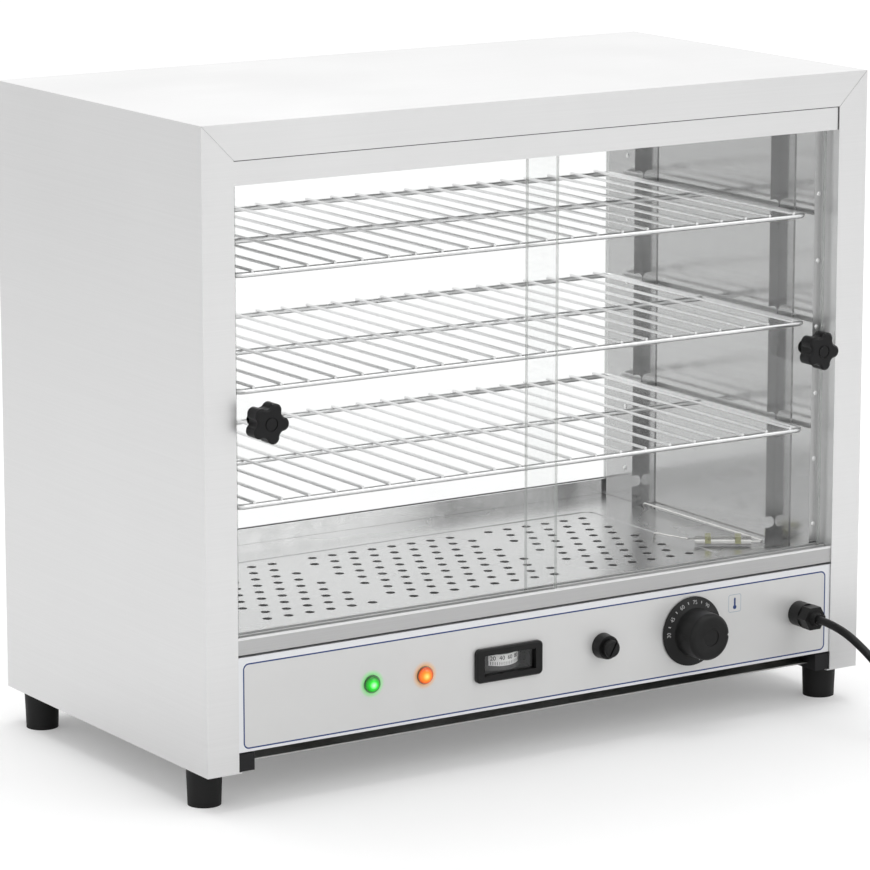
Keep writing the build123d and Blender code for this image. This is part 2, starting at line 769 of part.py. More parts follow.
# Thermometer: a bezel and pane in front, a box behind with a curved scale and a needle before it
meter = at_control(thermometer_x)
with BuildPart() as thermometer_bezel:
    with BuildSketch(meter):
        RectangleRounded(bezel_width, bezel_height, bezel_corner)
        Rectangle(window_width, window_height, mode=Mode.SUBTRACT)
    extrude(amount=bezel_thickness)
    chamfer(faces().sort_by(Axis.Y)[0].outer_wire().edges(), window_pane)
    with BuildSketch(meter):
        Rectangle(window_width + 2 * window_rebate, window_height + 2 * window_rebate)
    extrude(amount=window_pane, mode=Mode.SUBTRACT)
thermometer_bezel.part.label = "thermometer_bezel"
export_step(thermometer_bezel.part, "parts/thermometer_bezel.step")

with BuildPart() as thermometer_window:
    with BuildSketch(meter):
        Rectangle(window_width + 2 * window_rebate, window_height + 2 * window_rebate)
    extrude(amount=window_pane)
thermometer_window.part.label = "thermometer_window"
export_step(thermometer_window.part, "parts/thermometer_window.step")

meter_floor = control_z - meter_height / 2 + meter_wall
meter_roof = control_z + meter_height / 2 - meter_wall
drum_y = face_y + drum_set_back + drum_radius
drum_low = meter_floor + drum_boss_height + running_gap
with BuildPart() as thermometer_body:
    with BuildSketch(meter):
        Rectangle(meter_width, meter_height)
    extrude(amount=-meter_depth)
    with BuildSketch(meter):
        Rectangle(meter_width - 2 * meter_wall, meter_height - 2 * meter_wall)
    extrude(amount=-(meter_depth - meter_wall), mode=Mode.SUBTRACT)
    with BuildSketch(Plane((thermometer_x, drum_y, meter_floor - meter_wall), x_dir=(1, 0, 0), z_dir=(0, 0, 1))):
        Circle(drum_boss_radius)
    extrude(amount=meter_wall + drum_boss_height)
    with BuildSketch(Plane((thermometer_x, drum_y, meter_floor), x_dir=(1, 0, 0), z_dir=(0, 0, 1))):
        Circle(drum_spindle_radius + pivot_clearance)
    extrude(amount=drum_boss_height, mode=Mode.SUBTRACT)
thermometer_body.part.label = "thermometer_body"
export_step(thermometer_body.part, "parts/thermometer_body.step")

with BuildPart() as thermometer_drum:
    with BuildSketch(Plane((thermometer_x, drum_y, drum_low), x_dir=(1, 0, 0), z_dir=(0, 0, 1))):
        Circle(drum_radius)
    extrude(amount=meter_roof - running_gap - drum_low)
    with BuildSketch(Plane((thermometer_x, drum_y, meter_roof - running_gap), x_dir=(1, 0, 0), z_dir=(0, 0, 1))):
        Circle(drum_radius - drum_rim)
    extrude(amount=-drum_recess, mode=Mode.SUBTRACT)
    with BuildSketch(Plane((thermometer_x, drum_y, drum_low), x_dir=(1, 0, 0), z_dir=(0, 0, 1))):
        Circle(drum_spindle_radius)
    extrude(amount=-(drum_boss_height + running_gap - spindle_end_gap))
thermometer_drum.part.label = "thermometer_drum"
export_step(thermometer_drum.part, "parts/thermometer_drum.step")

# Reset button in its collar, and the limiter that it resets
with BuildPart() as reset_bezel:
    cone(at_control(reset_x), reset_bezel_height, reset_bezel_radius, reset_bezel_top_radius)
    with BuildSketch(at_control(reset_x, reset_floor)):
        Circle(reset_button_radius + reset_button_gap)
    extrude(amount=reset_bezel_height, mode=Mode.SUBTRACT)
    with BuildSketch(at_control(reset_x)):
        Circle(reset_stem_radius + running_gap)
    extrude(amount=reset_floor, mode=Mode.SUBTRACT)
reset_bezel.part.label = "reset_bezel"
export_step(reset_bezel.part, "parts/reset_bezel.step")

with BuildPart() as reset_button:
    with BuildSketch(at_control(reset_x, reset_button_back)):
        Circle(reset_button_radius)
    extrude(amount=reset_button_reach - reset_button_back)
    chamfer(faces().sort_by(Axis.Y)[0].edges(), reset_slot_depth)
    with BuildSketch(at_control(reset_x, reset_button_reach)):
        Rectangle(3 * reset_button_radius, reset_slot_width, rotation=60)
    extrude(amount=-reset_slot_depth, mode=Mode.SUBTRACT)
    with BuildSketch(at_control(reset_x, reset_button_back)):
        Circle(reset_stem_radius)
    extrude(amount=-reset_stem_length)
reset_button.part.label = "reset_button"
export_step(reset_button.part, "parts/reset_button.step")

with BuildPart() as limiter_body:
    with BuildSketch(facing(panel_back)):
        with Locations((reset_x, control_z)):
            RectangleRounded(limiter_size, limiter_size, 3)
            Circle(reset_stem_radius + pivot_clearance, mode=Mode.SUBTRACT)
    extrude(amount=-limiter_bore_depth)
    with BuildSketch(facing(panel_back + limiter_bore_depth)):
        with Locations((reset_x, control_z)):
            RectangleRounded(limiter_size, limiter_size, 3)
    extrude(amount=-(limiter_depth - limiter_bore_depth))
limiter_body.part.label = "limiter_body"
export_step(limiter_body.part, "parts/limiter_body.step")

# Thermostat with its shaft and the skirted dial knob
with BuildPart() as thermostat_body:
    with BuildSketch(facing(panel_back)):
        with Locations((dial_x, control_z)):
            RectangleRounded(thermostat_size, thermostat_size, 4)
            Circle(shaft_radius + pivot_clearance, mode=Mode.SUBTRACT)
    extrude(amount=-shaft_body_depth)
    with BuildSketch(facing(panel_back + shaft_body_depth)):
        with Locations((dial_x, control_z)):
            RectangleRounded(thermostat_size, thermostat_size, 4)
    extrude(amount=-(thermostat_depth - shaft_body_depth))
thermostat_body.part.label = "thermostat_body"
export_step(thermostat_body.part, "parts/thermostat_body.step")

with BuildPart() as thermostat_shaft:
    with BuildSketch(at_control(dial_x, shaft_knob_depth)):
        Circle(shaft_radius)
    extrude(amount=-(shaft_knob_depth + panel_sheet + shaft_body_depth - 1))
thermostat_shaft.part.label = "thermostat_shaft"
export_step(thermostat_shaft.part, "parts/thermostat_shaft.step")

with BuildPart() as thermostat_knob:
    skirt_plane = at_control(dial_x, dial_back_gap)
    with BuildSketch(skirt_plane):
        Circle(skirt_radius)
    extrude(amount=skirt_rim)
    cone(skirt_plane.offset(skirt_rim), skirt_rise, skirt_radius, grip_radius + 1)
    cone(skirt_plane.offset(skirt_rim), dial_length - skirt_rim, grip_radius, grip_face_radius)
    chamfer(faces().sort_by(Axis.Y)[0].edges(), grip_face_edge)
    with BuildSketch(skirt_plane.offset(skirt_rim + skirt_rise)):
        with PolarLocations(grip_radius + grip_flute_radius - grip_flute_depth, grip_flutes):
            Circle(grip_flute_radius)
    extrude(amount=dial_length, mode=Mode.SUBTRACT)
    with BuildSketch(skirt_plane.offset(dial_length)):
        Circle(grip_face_recess_radius)
    extrude(amount=-grip_face_recess, mode=Mode.SUBTRACT)
    with BuildSketch(skirt_plane):
        Circle(shaft_radius + pivot_clearance)
    extrude(amount=shaft_knob_depth + 1, mode=Mode.SUBTRACT)
thermostat_knob.part.label = "thermostat_knob"
export_step(thermostat_knob.part, "parts/thermostat_knob.step")

# Cable gland through the panel, with its locknut behind
with BuildPart() as cable_gland:
    with BuildSketch(at_control(gland_x)):
        Circle(gland_body_radius)
    extrude(amount=gland_body_length)
    with BuildSketch(at_control(gland_x, gland_body_length)):
        RegularPolygon(gland_nut_flats / 2, 6, major_radius=False)
    extrude(amount=gland_nut_length)
    nose_start = gland_body_length + gland_nut_length
    cone(at_control(gland_x, nose_start), gland_length - nose_start, gland_nose_radius, gland_tip_radius)
    with BuildSketch(at_control(gland_x)):
        Circle(gland_thread_radius)
    extrude(amount=-(panel_sheet + gland_thread_length))
cable_gland.part.label = "cable_gland"
export_step(cable_gland.part, "parts/cable_gland.step")

with BuildPart() as gland_locknut:
    with BuildSketch(facing(panel_back)):
        with Locations((gland_x, control_z)):
            RegularPolygon(gland_locknut_flats / 2, 6, major_radius=False)
            Circle(gland_thread_radius + pivot_clearance, mode=Mode.SUBTRACT)
    extrude(amount=-gland_locknut_height)
gland_locknut.part.label = "gland_locknut"
export_step(gland_locknut.part, "parts/gland_locknut.step")

# Terminal block on the pan, and the cable's inner end between it and the gland
pan_top = pan_level + sheet
terminal_y = panel_back + terminal_from_panel
inner_start = panel_back + gland_thread_length
with BuildPart() as terminal_block:
    with BuildSketch(Plane((gland_x, terminal_y, pan_top), x_dir=(1, 0, 0), z_dir=(0, 0, 1))):
        Rectangle(terminal_width, terminal_depth)
    extrude(amount=terminal_height)
    with BuildSketch(Plane((gland_x, terminal_y, pan_top + terminal_height), x_dir=(1, 0, 0), z_dir=(0, 0, 1))):
        with GridLocations(terminal_width / terminal_poles, terminal_depth / 2, terminal_poles, 2):
            Rectangle(terminal_width / terminal_poles - 3, terminal_depth / 4)
    extrude(amount=-terminal_height / 3, mode=Mode.SUBTRACT)
terminal_block.part.label = "terminal_block"
export_step(terminal_block.part, "parts/terminal_block.step")

with BuildPart() as inner_cable:
    cable_end_y = terminal_y - terminal_depth / 2
    cable_end_z = pan_top + terminal_height / 2
    with BuildLine() as cable_line:
        cable_run = (cable_end_y - inner_start) / 3
        FilletPolyline(
            (gland_x, inner_start, control_z),
            (gland_x, inner_start + cable_run, control_z),
            (gland_x, cable_end_y - cable_run, cable_end_z),
            (gland_x, cable_end_y, cable_end_z),
            radius=cable_run / 2,
        )
    with BuildSketch(facing(inner_start)):
        with Locations((gland_x, control_z)):
            RegularPolygon(cord_radius, cord_sides, rotation=180 / cord_sides)
    sweep(path=cable_line.wires()[0])
inner_cable.part.label = "inner_cable"
export_step(inner_cable.part, "parts/inner_cable.step")

# Heating element: a hairpin tube held above the pan by two drilled brackets
element_right = liner_half_width - element_from_wall
element_left = -element_right
with BuildPart() as heating_element:
    leg_front = middle_y - element_spread / 2
    leg_back = middle_y + element_spread / 2
    with BuildLine() as element_line:
        Line((element_right, leg_front, element_level), (element_left, leg_front, element_level))
        ThreePointArc(
            (element_left, leg_front, element_level),
            (element_left - element_spread / 2, middle_y, element_level),
            (element_left, leg_back, element_level),
        )
        Line((element_left, leg_back, element_level), (element_right, leg_back, element_level))
    with BuildSketch(Plane((element_right, leg_front, element_level), x_dir=(0, 1, 0), z_dir=(-1, 0, 0))):
        RegularPolygon(element_radius, element_sides)
    sweep(path=element_line.wires()[0])
heating_element.part.label = "heating_element"
export_step(heating_element.part, "parts/heating_element.step")

with BuildPart() as element_brackets:
    for side in (-1, 1):
        bracket_x = side * (element_right - element_bracket_from_end)
        with BuildSketch(across(bracket_x)):
            bracket_half = element_spread / 2 + element_bracket_margin
            bracket_top = element_level + element_bracket_margin
            span(middle_y - bracket_half, pan_top, middle_y + bracket_half, bracket_top)
            with Locations((leg_front, element_level), (leg_back, element_level)):
                RegularPolygon(element_radius + pivot_clearance, element_sides, mode=Mode.SUBTRACT)
        extrude(amount=element_bracket_sheet)
        with BuildSketch(level(pan_top)):
            foot_end = bracket_x + element_bracket_foot
            span(bracket_x, middle_y - bracket_half, foot_end, middle_y + bracket_half)
        extrude(amount=element_bracket_sheet)
element_brackets.part.label = "element_brackets"
export_step(element_brackets.part, "parts/element_brackets.step")

# Sensor bulbs on clips at the right of the floor, and the capillaries that lead from them
bulb_z = floor_level + bulb_radius + bulb_rise
bulb_start = Vector(liner_half_width - bulb_wall_end_gap, middle_y + bulb_wall_end_back, bulb_z)
bulb_end = Vector(liner_half_width - bulb_far_end_gap, middle_y + bulb_far_end_back, bulb_z)
bulb_direction = (bulb_end - bulb_start).normalized()
bulb_side = Vector(bulb_direction.Y, -bulb_direction.X, 0)
bulb_length = (bulb_end - bulb_start).length
if bulb_side.Y > 0:
    bulb_side = bulb_side * -1
with BuildPart() as sensor_bulbs:
    for shift in (0, 1):
        start = bulb_start - bulb_side * (shift * bulb_pitch)
        with BuildSketch(Plane(origin=start, z_dir=bulb_direction)):
            Circle(bulb_radius)
        extrude(amount=bulb_length)
sensor_bulbs.part.label = "sensor_bulbs"
export_step(sensor_bulbs.part, "parts/sensor_bulbs.step")

with BuildPart() as sensor_clips:
    for along in (clip_inset, bulb_length - clip_inset - clip_width):
        foot = bulb_start + bulb_direction * along
        with BuildSketch(Plane((foot.X, foot.Y, bulb_z), x_dir=bulb_side * -1, z_dir=bulb_direction)):
            clip_edge = bulb_radius + clip_sheet
            span(-clip_edge, -bulb_radius - bulb_rise, bulb_pitch + clip_edge, clip_lip)
            with Locations((0, 0), (bulb_pitch, 0)):
                Circle(bulb_radius + pivot_clearance, mode=Mode.SUBTRACT)
            span(-bulb_radius * 0.8, 0, bulb_radius * 0.8, 2 * clip_lip, Mode.SUBTRACT)
            span(bulb_pitch - bulb_radius * 0.8, 0, bulb_pitch + bulb_radius * 0.8, 2 * clip_lip, Mode.SUBTRACT)
        extrude(amount=clip_width)
sensor_clips.part.label = "sensor_clips"
export_step(sensor_clips.part, "parts/sensor_clips.step")

below_floor = floor_level - floor_rim
with BuildPart() as capillaries:
    wall_y = middle_y + capillary_rear_back
    turn_y = middle_y + capillary_front_back
    lead_in = bulb_start - bulb_direction * (2 * capillary_bend)
    with BuildLine() as wall_line:
        FilletPolyline(
            (capillary_wall_x, wall_y, below_floor),
            (capillary_wall_x, wall_y, bulb_z),
            (capillary_wall_x, turn_y + 2 * capillary_bend, bulb_z),
            (lead_in.X, lead_in.Y, bulb_z),
            (bulb_start.X, bulb_start.Y, bulb_z),
            radius=capillary_bend / 2,
        )
    with BuildSketch(Plane((capillary_wall_x, wall_y, below_floor), x_dir=(1, 0, 0), z_dir=(0, 0, 1))):
        RegularPolygon(capillary_radius, capillary_sides)
    sweep(path=wall_line.wires()[0])
    far_start = bulb_end - bulb_side * bulb_pitch
    far_out = far_start + bulb_direction * capillary_bend
    far_y = middle_y + capillary_far_back
    with BuildLine() as far_line:
        FilletPolyline(
            (capillary_far_x, far_y, below_floor),
            (capillary_far_x, far_y, bulb_z),
            (far_out.X, far_out.Y, bulb_z),
            (far_start.X, far_start.Y, bulb_z),
            radius=capillary_bend / 2,
        )
    with BuildSketch(Plane((capillary_far_x, far_y, below_floor), x_dir=(1, 0, 0), z_dir=(0, 0, 1))):
        RegularPolygon(capillary_radius, capillary_sides)
    sweep(path=far_line.wires()[0])
capillaries.part.label = "capillaries"
export_step(capillaries.part, "parts/capillaries.step")

# Supply cord: the stretch from the gland down to the counter, on points chosen by hand
coil_centre_y = front_y - coil_centre_front
coil_low = tie_thickness + tie_gap + cord_radius
coil_high = coil_low + coil_pitch
coil_outer_radius = coil_inner_radius + coil_turns_in * coil_pitch
straight_end = 2 * cord_radius
coil_front_y = coil_centre_y - coil_outer_radius
lead_points = [
    (gland_x, face_y - gland_length, control_z),
    (gland_x, face_y - gland_length - 26, control_z),
    (gland_x + 2, face_y - gland_length - 62, control_z - 14),
    (gland_x + 7, face_y - gland_length - 98, control_z - 40),
    (gland_x + 18, face_y - gland_length - 129, control_z - 66),
    (gland_x + 40, coil_front_y + 3, 7.5),
    (coil_centre_x - straight_end - 14, coil_front_y, coil_low),
    (coil_centre_x - straight_end, coil_front_y, coil_low),
]
tail_points = [
    (coil_centre_x + straight_end, coil_front_y, coil_high),
    (coil_centre_x + straight_end + 24, coil_front_y, coil_high),
    (coil_centre_x + straight_end + 50, coil_front_y + 7, plug_flat - 0.6),
    (coil_centre_x + straight_end + 72, coil_front_y + 24, plug_flat),
    (coil_centre_x + straight_end + 84, coil_front_y + 48, plug_flat),
]


def corner_radii(points, share=0.45):
    """The radius at each inner point: a share of its shorter run over the tangent of half its turn."""
    radii = []
    for before, here, after in zip(points, points[1:], points[2:]):
        run_in = Vector(*here) - Vector(*before)
        run_out = Vector(*after) - Vector(*here)
        half_turn = math.radians(run_in.get_angle(run_out)) / 2
        radii.append(share * min(run_in.length, run_out.length) / math.tan(half_turn))
    return radii


def polygon_area(radius, sides):
    """The area of a regular polygon whose corners lie on a circle."""
    return sides / 2 * radius**2 * math.sin(2 * math.pi / sides)


for points, name in ((lead_points, "cord_lead"), (tail_points, "cord_tail")):
    radii = corner_radii(points)
    with BuildPart() as cord_stretch:
        with BuildLine() as stretch_line:
            FilletPolyline(*points, radius=radii)
        run_start, run_next = Vector(*points[0]), Vector(*points[1])
        with BuildSketch(Plane(origin=run_start, x_dir=(0, 0, 1), z_dir=run_next - run_start)):
            RegularPolygon(cord_radius, cord_sides, rotation=180 / cord_sides)
        sweep(path=stretch_line.wires()[0])
    cord_stretch.part.label = name
    export_step(cord_stretch.part, f"parts/{name}.step")
    stretch_length = stretch_line.wires()[0].length
    ratio = cord_stretch.part.volume / (polygon_area(cord_radius, cord_sides) * stretch_length)
    print(name, "length", round(stretch_length), "volume ratio", round(ratio, 4), "radii", [round(r) for r in radii])

# Coil of the put-away length: in on the lower layer, up in one half turn, out again on the upper
with BuildPart() as cord_coil:
    with BuildLine() as coil_line:
        start_x = coil_centre_x - straight_end
        Line((start_x, coil_front_y, coil_low), (coil_centre_x, coil_front_y, coil_low))
        coil_turns = []
        here_y = coil_front_y
        here_z = coil_low
        for half in range(4 * coil_turns_in):
            side = 1 if half % 2 == 0 else -1
            if half < 2 * coil_turns_in:
                turn_radius = coil_outer_radius - half * coil_pitch / 2
                rise = 0.0
            elif half == 2 * coil_turns_in:
                turn_radius = coil_inner_radius
                rise = coil_pitch
            else:
                turn_radius = coil_inner_radius + (half - 2 * coil_turns_in) * coil_pitch / 2
                rise = 0.0
            next_y = here_y + side * 2 * turn_radius
            reach_x = coil_centre_x + side * math.hypot(turn_radius, rise / 2)
            turn_mid = (reach_x, (here_y + next_y) / 2, here_z + rise / 2)
            turn_end = (coil_centre_x, next_y, here_z + rise)
            coil_turns.append(ThreePointArc((coil_centre_x, here_y, here_z), turn_mid, turn_end))
            here_y = next_y
            here_z += rise
        end_x = coil_centre_x + straight_end
        Line((coil_centre_x, here_y, here_z), (end_x, here_y, here_z))
    with BuildSketch(Plane((start_x, coil_front_y, coil_low), x_dir=(0, 1, 0), z_dir=(1, 0, 0))):
        RegularPolygon(cord_radius, cord_sides, rotation=180 / cord_sides)
    sweep(path=coil_line.wires()[0])
cord_coil.part.label = "cord_coil"
export_step(cord_coil.part, "parts/cord_coil.step")
coil_length = coil_line.wires()[0].length
steps = round(coil_length / 2)
trace = [coil_line.wires()[0].position_at(step / steps) for step in range(steps + 1)]
apart = round(3 * cord_radius / (coil_length / steps)) + 1
least = min((trace[i] - trace[j]).length for i in range(len(trace)) for j in range(i + apart, len(trace)))
print("coil length", round(coil_length), "least gap", round(least - 2 * cord_radius, 2))
coil_ratio = cord_coil.part.volume / (polygon_area(cord_radius, cord_sides) * coil_length)
print("coil volume ratio", round(coil_ratio, 4))

# Strap round the coil at the side away from its ends
with BuildPart() as coil_tie:
    strap_plane = Plane((coil_centre_x, coil_centre_y, 0), x_dir=(0, 1, 0), z_dir=(1, 0, 0))
    strap_inner = coil_inner_radius - cord_radius - 2 * tie_gap
    strap_outer = coil_outer_radius + cord_radius + 2 * tie_gap
    strap_top = coil_high + cord_radius + tie_gap + tie_thickness
    with BuildSketch(strap_plane):
        with Locations(((strap_inner + strap_outer) / 2, strap_top / 2)):
            RectangleRounded(strap_outer - strap_inner + 2 * tie_thickness, strap_top, tie_corner)
            RectangleRounded(
                strap_outer - strap_inner,
                strap_top - 2 * tie_thickness,
                tie_corner - tie_thickness,
                mode=Mode.SUBTRACT,
            )
    extrude(amount=tie_width / 2, both=True)
coil_tie.part.label = "coil_tie"
export_step(coil_tie.part, "parts/coil_tie.step")

# Plug with its sleeve, lying on one of its flats
plug_start = Vector(*tail_points[-1])
plug_along = (plug_start - Vector(*tail_points[-2])).normalized()
plug_across = Vector(plug_along.Y, -plug_along.X, 0)
plug_plane = Plane(origin=plug_start, x_dir=plug_across, z_dir=plug_along)
with BuildPart() as plug_body:
    cone(plug_plane, plug_sleeve_length, plug_sleeve_radius, plug_sleeve_radius + plug_sleeve_flare)
    cone(plug_plane.offset(plug_sleeve_length), plug_grip_length, plug_grip_radius, plug_flat)
    with BuildSketch(plug_plane.offset(plug_sleeve_length + plug_grip_length)):
        Circle(plug_body_radius)
        Rectangle(2 * plug_body_radius, 2 * plug_flat, mode=Mode.INTERSECT)
    extrude(amount=plug_face_length)
    with BuildSketch(plug_plane.offset(plug_sleeve_length + plug_grip_length + plug_face_length)):
        with GridLocations(plug_pin_spacing, 1, 2, 1):
            Circle(plug_pin_radius)
    extrude(amount=-plug_pin_seat, mode=Mode.SUBTRACT)
plug_body.part.label = "plug_body"
export_step(plug_body.part, "parts/plug_body.step")

with BuildPart() as plug_pins:
    with BuildSketch(plug_plane.offset(plug_sleeve_length + plug_grip_length + plug_face_length - plug_pin_seat)):
        with GridLocations(plug_pin_spacing, 1, 2, 1):
            Circle(plug_pin_radius)
    extrude(amount=plug_pin_seat + plug_pin_length)
plug_pins.part.label = "plug_pins"
export_step(plug_pins.part, "parts/plug_pins.step")
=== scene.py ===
import math

import bmesh
import bpy
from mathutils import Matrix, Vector


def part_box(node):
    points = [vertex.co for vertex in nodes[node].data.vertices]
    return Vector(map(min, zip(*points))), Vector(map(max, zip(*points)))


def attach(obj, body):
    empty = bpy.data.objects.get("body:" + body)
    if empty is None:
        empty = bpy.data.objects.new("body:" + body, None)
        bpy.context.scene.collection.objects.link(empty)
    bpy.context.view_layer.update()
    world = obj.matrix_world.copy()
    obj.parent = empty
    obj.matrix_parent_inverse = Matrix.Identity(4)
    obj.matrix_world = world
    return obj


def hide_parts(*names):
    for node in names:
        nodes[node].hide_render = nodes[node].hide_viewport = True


# The heated display case, dressed for a studio picture. All lengths are in metres.

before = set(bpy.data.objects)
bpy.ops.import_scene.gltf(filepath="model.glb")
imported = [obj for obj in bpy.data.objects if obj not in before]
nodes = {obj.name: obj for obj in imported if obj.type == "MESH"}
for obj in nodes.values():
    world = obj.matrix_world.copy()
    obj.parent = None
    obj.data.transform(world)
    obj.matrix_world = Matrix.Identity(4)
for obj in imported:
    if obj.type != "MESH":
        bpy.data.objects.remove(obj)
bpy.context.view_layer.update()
scene = bpy.context.scene

# Camera, at the angle of the picture that the case is made from
camera_azimuth = -32.95
camera_elevation = 11.78
camera_distance = 3.6776
camera_target = Vector((-0.0118, -0.00375, 0.2428))
sensor_width = 36.0
focal_length = 182.4

azimuth = math.radians(camera_azimuth)
elevation = math.radians(camera_elevation)
towards_camera = Vector((
    math.sin(azimuth) * math.cos(elevation),
    -math.cos(azimuth) * math.cos(elevation),
    math.sin(elevation),
))
camera_data = bpy.data.cameras.new("camera")
camera_data.sensor_width = sensor_width
camera_data.lens = focal_length
camera_data.clip_start = 0.05
camera_data.clip_end = 60.0
camera = bpy.data.objects.new("camera", camera_data)
camera.location = camera_target + towards_camera * camera_distance
camera.rotation_mode = "QUATERNION"
camera.rotation_quaternion = (-towards_camera).to_track_quat("-Z", "Y")
scene.collection.objects.link(camera)
scene.camera = camera
scene.view_settings.view_transform = "Standard"


# Materials: settings that several of them share
# Painted shade in seams, gaps and creases, darker where a spot is more closed in
crease_shade_black = (0.05, 0.05, 0.05)
crease_shade_range = (0.12, 0.42)  # painted shade: how open a spot is when it turns black, and when it shows its colour
line_length = 6.0  # scale along the brushed lines
square_mirror = 0.03  # share of the light that a pane mirrors when it is seen squarely


# Node helpers
def new_material(name):
    """A material with its Principled shader, and its node tree."""
    material = bpy.data.materials.new(name)
    material.use_nodes = True
    tree = material.node_tree
    return material, tree, tree.nodes["Principled BSDF"]


def node(tree, kind, **values):
    """A shader node with its settings."""
    made = tree.nodes.new(kind)
    for key, value in values.items():
        setattr(made, key, value)
    return made


def object_noise(tree, scale, detail=2.0, roughness=0.5, stretch=(1.0, 1.0, 1.0)):
    """Noise in object space, drawn out along the axes that stretch makes small."""
    place = node(tree, "ShaderNodeTexCoord")
    mapping = node(tree, "ShaderNodeMapping")
    mapping.inputs["Scale"].default_value = stretch
    noise = node(tree, "ShaderNodeTexNoise")
    noise.inputs["Scale"].default_value = scale
    noise.inputs["Detail"].default_value = detail
    noise.inputs["Roughness"].default_value = roughness
    tree.links.new(place.outputs["Object"], mapping.inputs["Vector"])
    tree.links.new(mapping.outputs["Vector"], noise.inputs["Vector"])
    return noise


def calc(tree, operation, first, second=None):
    """One sum, each part of it a number or a socket."""
    made = node(tree, "ShaderNodeMath", operation=operation)
    for place, value in zip(made.inputs, (first, second)):
        if value is None:
            continue
        if hasattr(value, "is_linked"):
            tree.links.new(value, place)
        else:
            place.default_value = value
    return made.outputs["Value"]


def coordinates(tree):
    """The part's own x, y and z."""
    place = node(tree, "ShaderNodeTexCoord")
    split = node(tree, "ShaderNodeSeparateXYZ")
    tree.links.new(place.outputs["Object"], split.inputs["Vector"])
    return split.outputs["X"], split.outputs["Y"], split.outputs["Z"]


def squarely(tree, axis):
    """How squarely a flat face looks along an axis, from nothing to one."""
    geometry = node(tree, "ShaderNodeNewGeometry")
    split = node(tree, "ShaderNodeSeparateXYZ")
    tree.links.new(geometry.outputs["True Normal"], split.inputs["Vector"])
    return calc(tree, "ABSOLUTE", split.outputs[axis])


def ranged(tree, value, low, high, from_low=0.3, from_high=0.7):
    """A value brought from one range into another."""
    span = node(tree, "ShaderNodeMapRange")
    span.inputs["From Min"].default_value = from_low
    span.inputs["From Max"].default_value = from_high
    span.inputs["To Min"].default_value = low
    span.inputs["To Max"].default_value = high
    tree.links.new(value, span.inputs["Value"])
    return span.outputs["Result"]


def mixed(tree, factor, first, second):
    """A colour between two, each a colour or a socket."""
    mix = node(tree, "ShaderNodeMix", data_type="RGBA")
    tree.links.new(factor, mix.inputs["Factor"])
    for index, colour in ((6, first), (7, second)):
        if hasattr(colour, "is_linked"):
            tree.links.new(colour, mix.inputs[index])
        else:
            mix.inputs[index].default_value = (*colour, 1.0)
    return mix.outputs[2]


def bumped(tree, shader, height, strength, distance):
    """A bump from a height into a shader's normal."""
    bump = node(tree, "ShaderNodeBump")
    bump.inputs["Strength"].default_value = strength
    bump.inputs["Distance"].default_value = distance
    tree.links.new(height, bump.inputs["Height"])
    tree.links.new(bump.outputs["Normal"], shader.inputs["Normal"])


def shaded_in_creases(tree, colour, reach):
    """A colour with painted shade: it turns black in seams and gaps narrower than reach, where little light
    gets in.
    """
    occlusion = node(tree, "ShaderNodeAmbientOcclusion", samples=6)
    occlusion.inputs["Distance"].default_value = reach
    shade = ranged(tree, occlusion.outputs["AO"], 0.0, 1.0, *crease_shade_range)
    return mixed(tree, shade, crease_shade_black, colour)


def brushed_metal(
    name, colour, contrast, roughness, grain, smudge=0.04, bump=0.03, crease_shade_reach=0.0, paint=None,
):
    """Sheet metal with fine brushed lines along its faces and faint handling marks.

    Paint, where it is given, changes the colour by the place on the part: a painted highlight or a painted
    shadow. A reach for shade, where it is given, paints shade into seams and gaps.
    """
    material, tree, shader = new_material(name)
    shader.inputs["Metallic"].default_value = 1.0
    lines = object_noise(tree, 1.0, 3.0, 0.6, (line_length, line_length, grain))
    top_lines = object_noise(tree, 1.0, 3.0, 0.6, (line_length, grain, line_length))
    streaks = mixed(tree, squarely(tree, "Z"), lines.outputs["Color"], top_lines.outputs["Color"])
    cloud = object_noise(tree, 7.0, 3.0, 0.55)
    dark = tuple(part * (1 - contrast) for part in colour)
    steel = mixed(tree, ranged(tree, streaks, 0.0, 1.0, 0.35, 0.65), dark, colour)
    if paint:
        steel = paint(tree, steel)
    # Painted shade in seams and gaps
    if crease_shade_reach:
        steel = shaded_in_creases(tree, steel, crease_shade_reach)
    tree.links.new(steel, shader.inputs["Base Color"])
    rough = ranged(tree, cloud.outputs["Fac"], roughness - smudge, roughness + smudge)
    tree.links.new(rough, shader.inputs["Roughness"])
    bumped(tree, shader, streaks, bump, 0.0002)
    return material


def plain_metal(name, colour, roughness, scale=60.0, bump=0.05, spread=0.05, metallic=1.0):
    """Metal with a slightly uneven surface."""
    material, tree, shader = new_material(name)
    shader.inputs["Metallic"].default_value = metallic
    cloud = object_noise(tree, scale, 4.0, 0.6)
    dull = tuple(part * 0.88 for part in colour)
    shade = ranged(tree, cloud.outputs["Fac"], 0.0, 1.0)
    tree.links.new(mixed(tree, shade, dull, colour), shader.inputs["Base Color"])
    rough = ranged(tree, cloud.outputs["Fac"], roughness - spread, roughness + spread)
    tree.links.new(rough, shader.inputs["Roughness"])
    bumped(tree, shader, cloud.outputs["Fac"], bump, 0.0002)
    return material


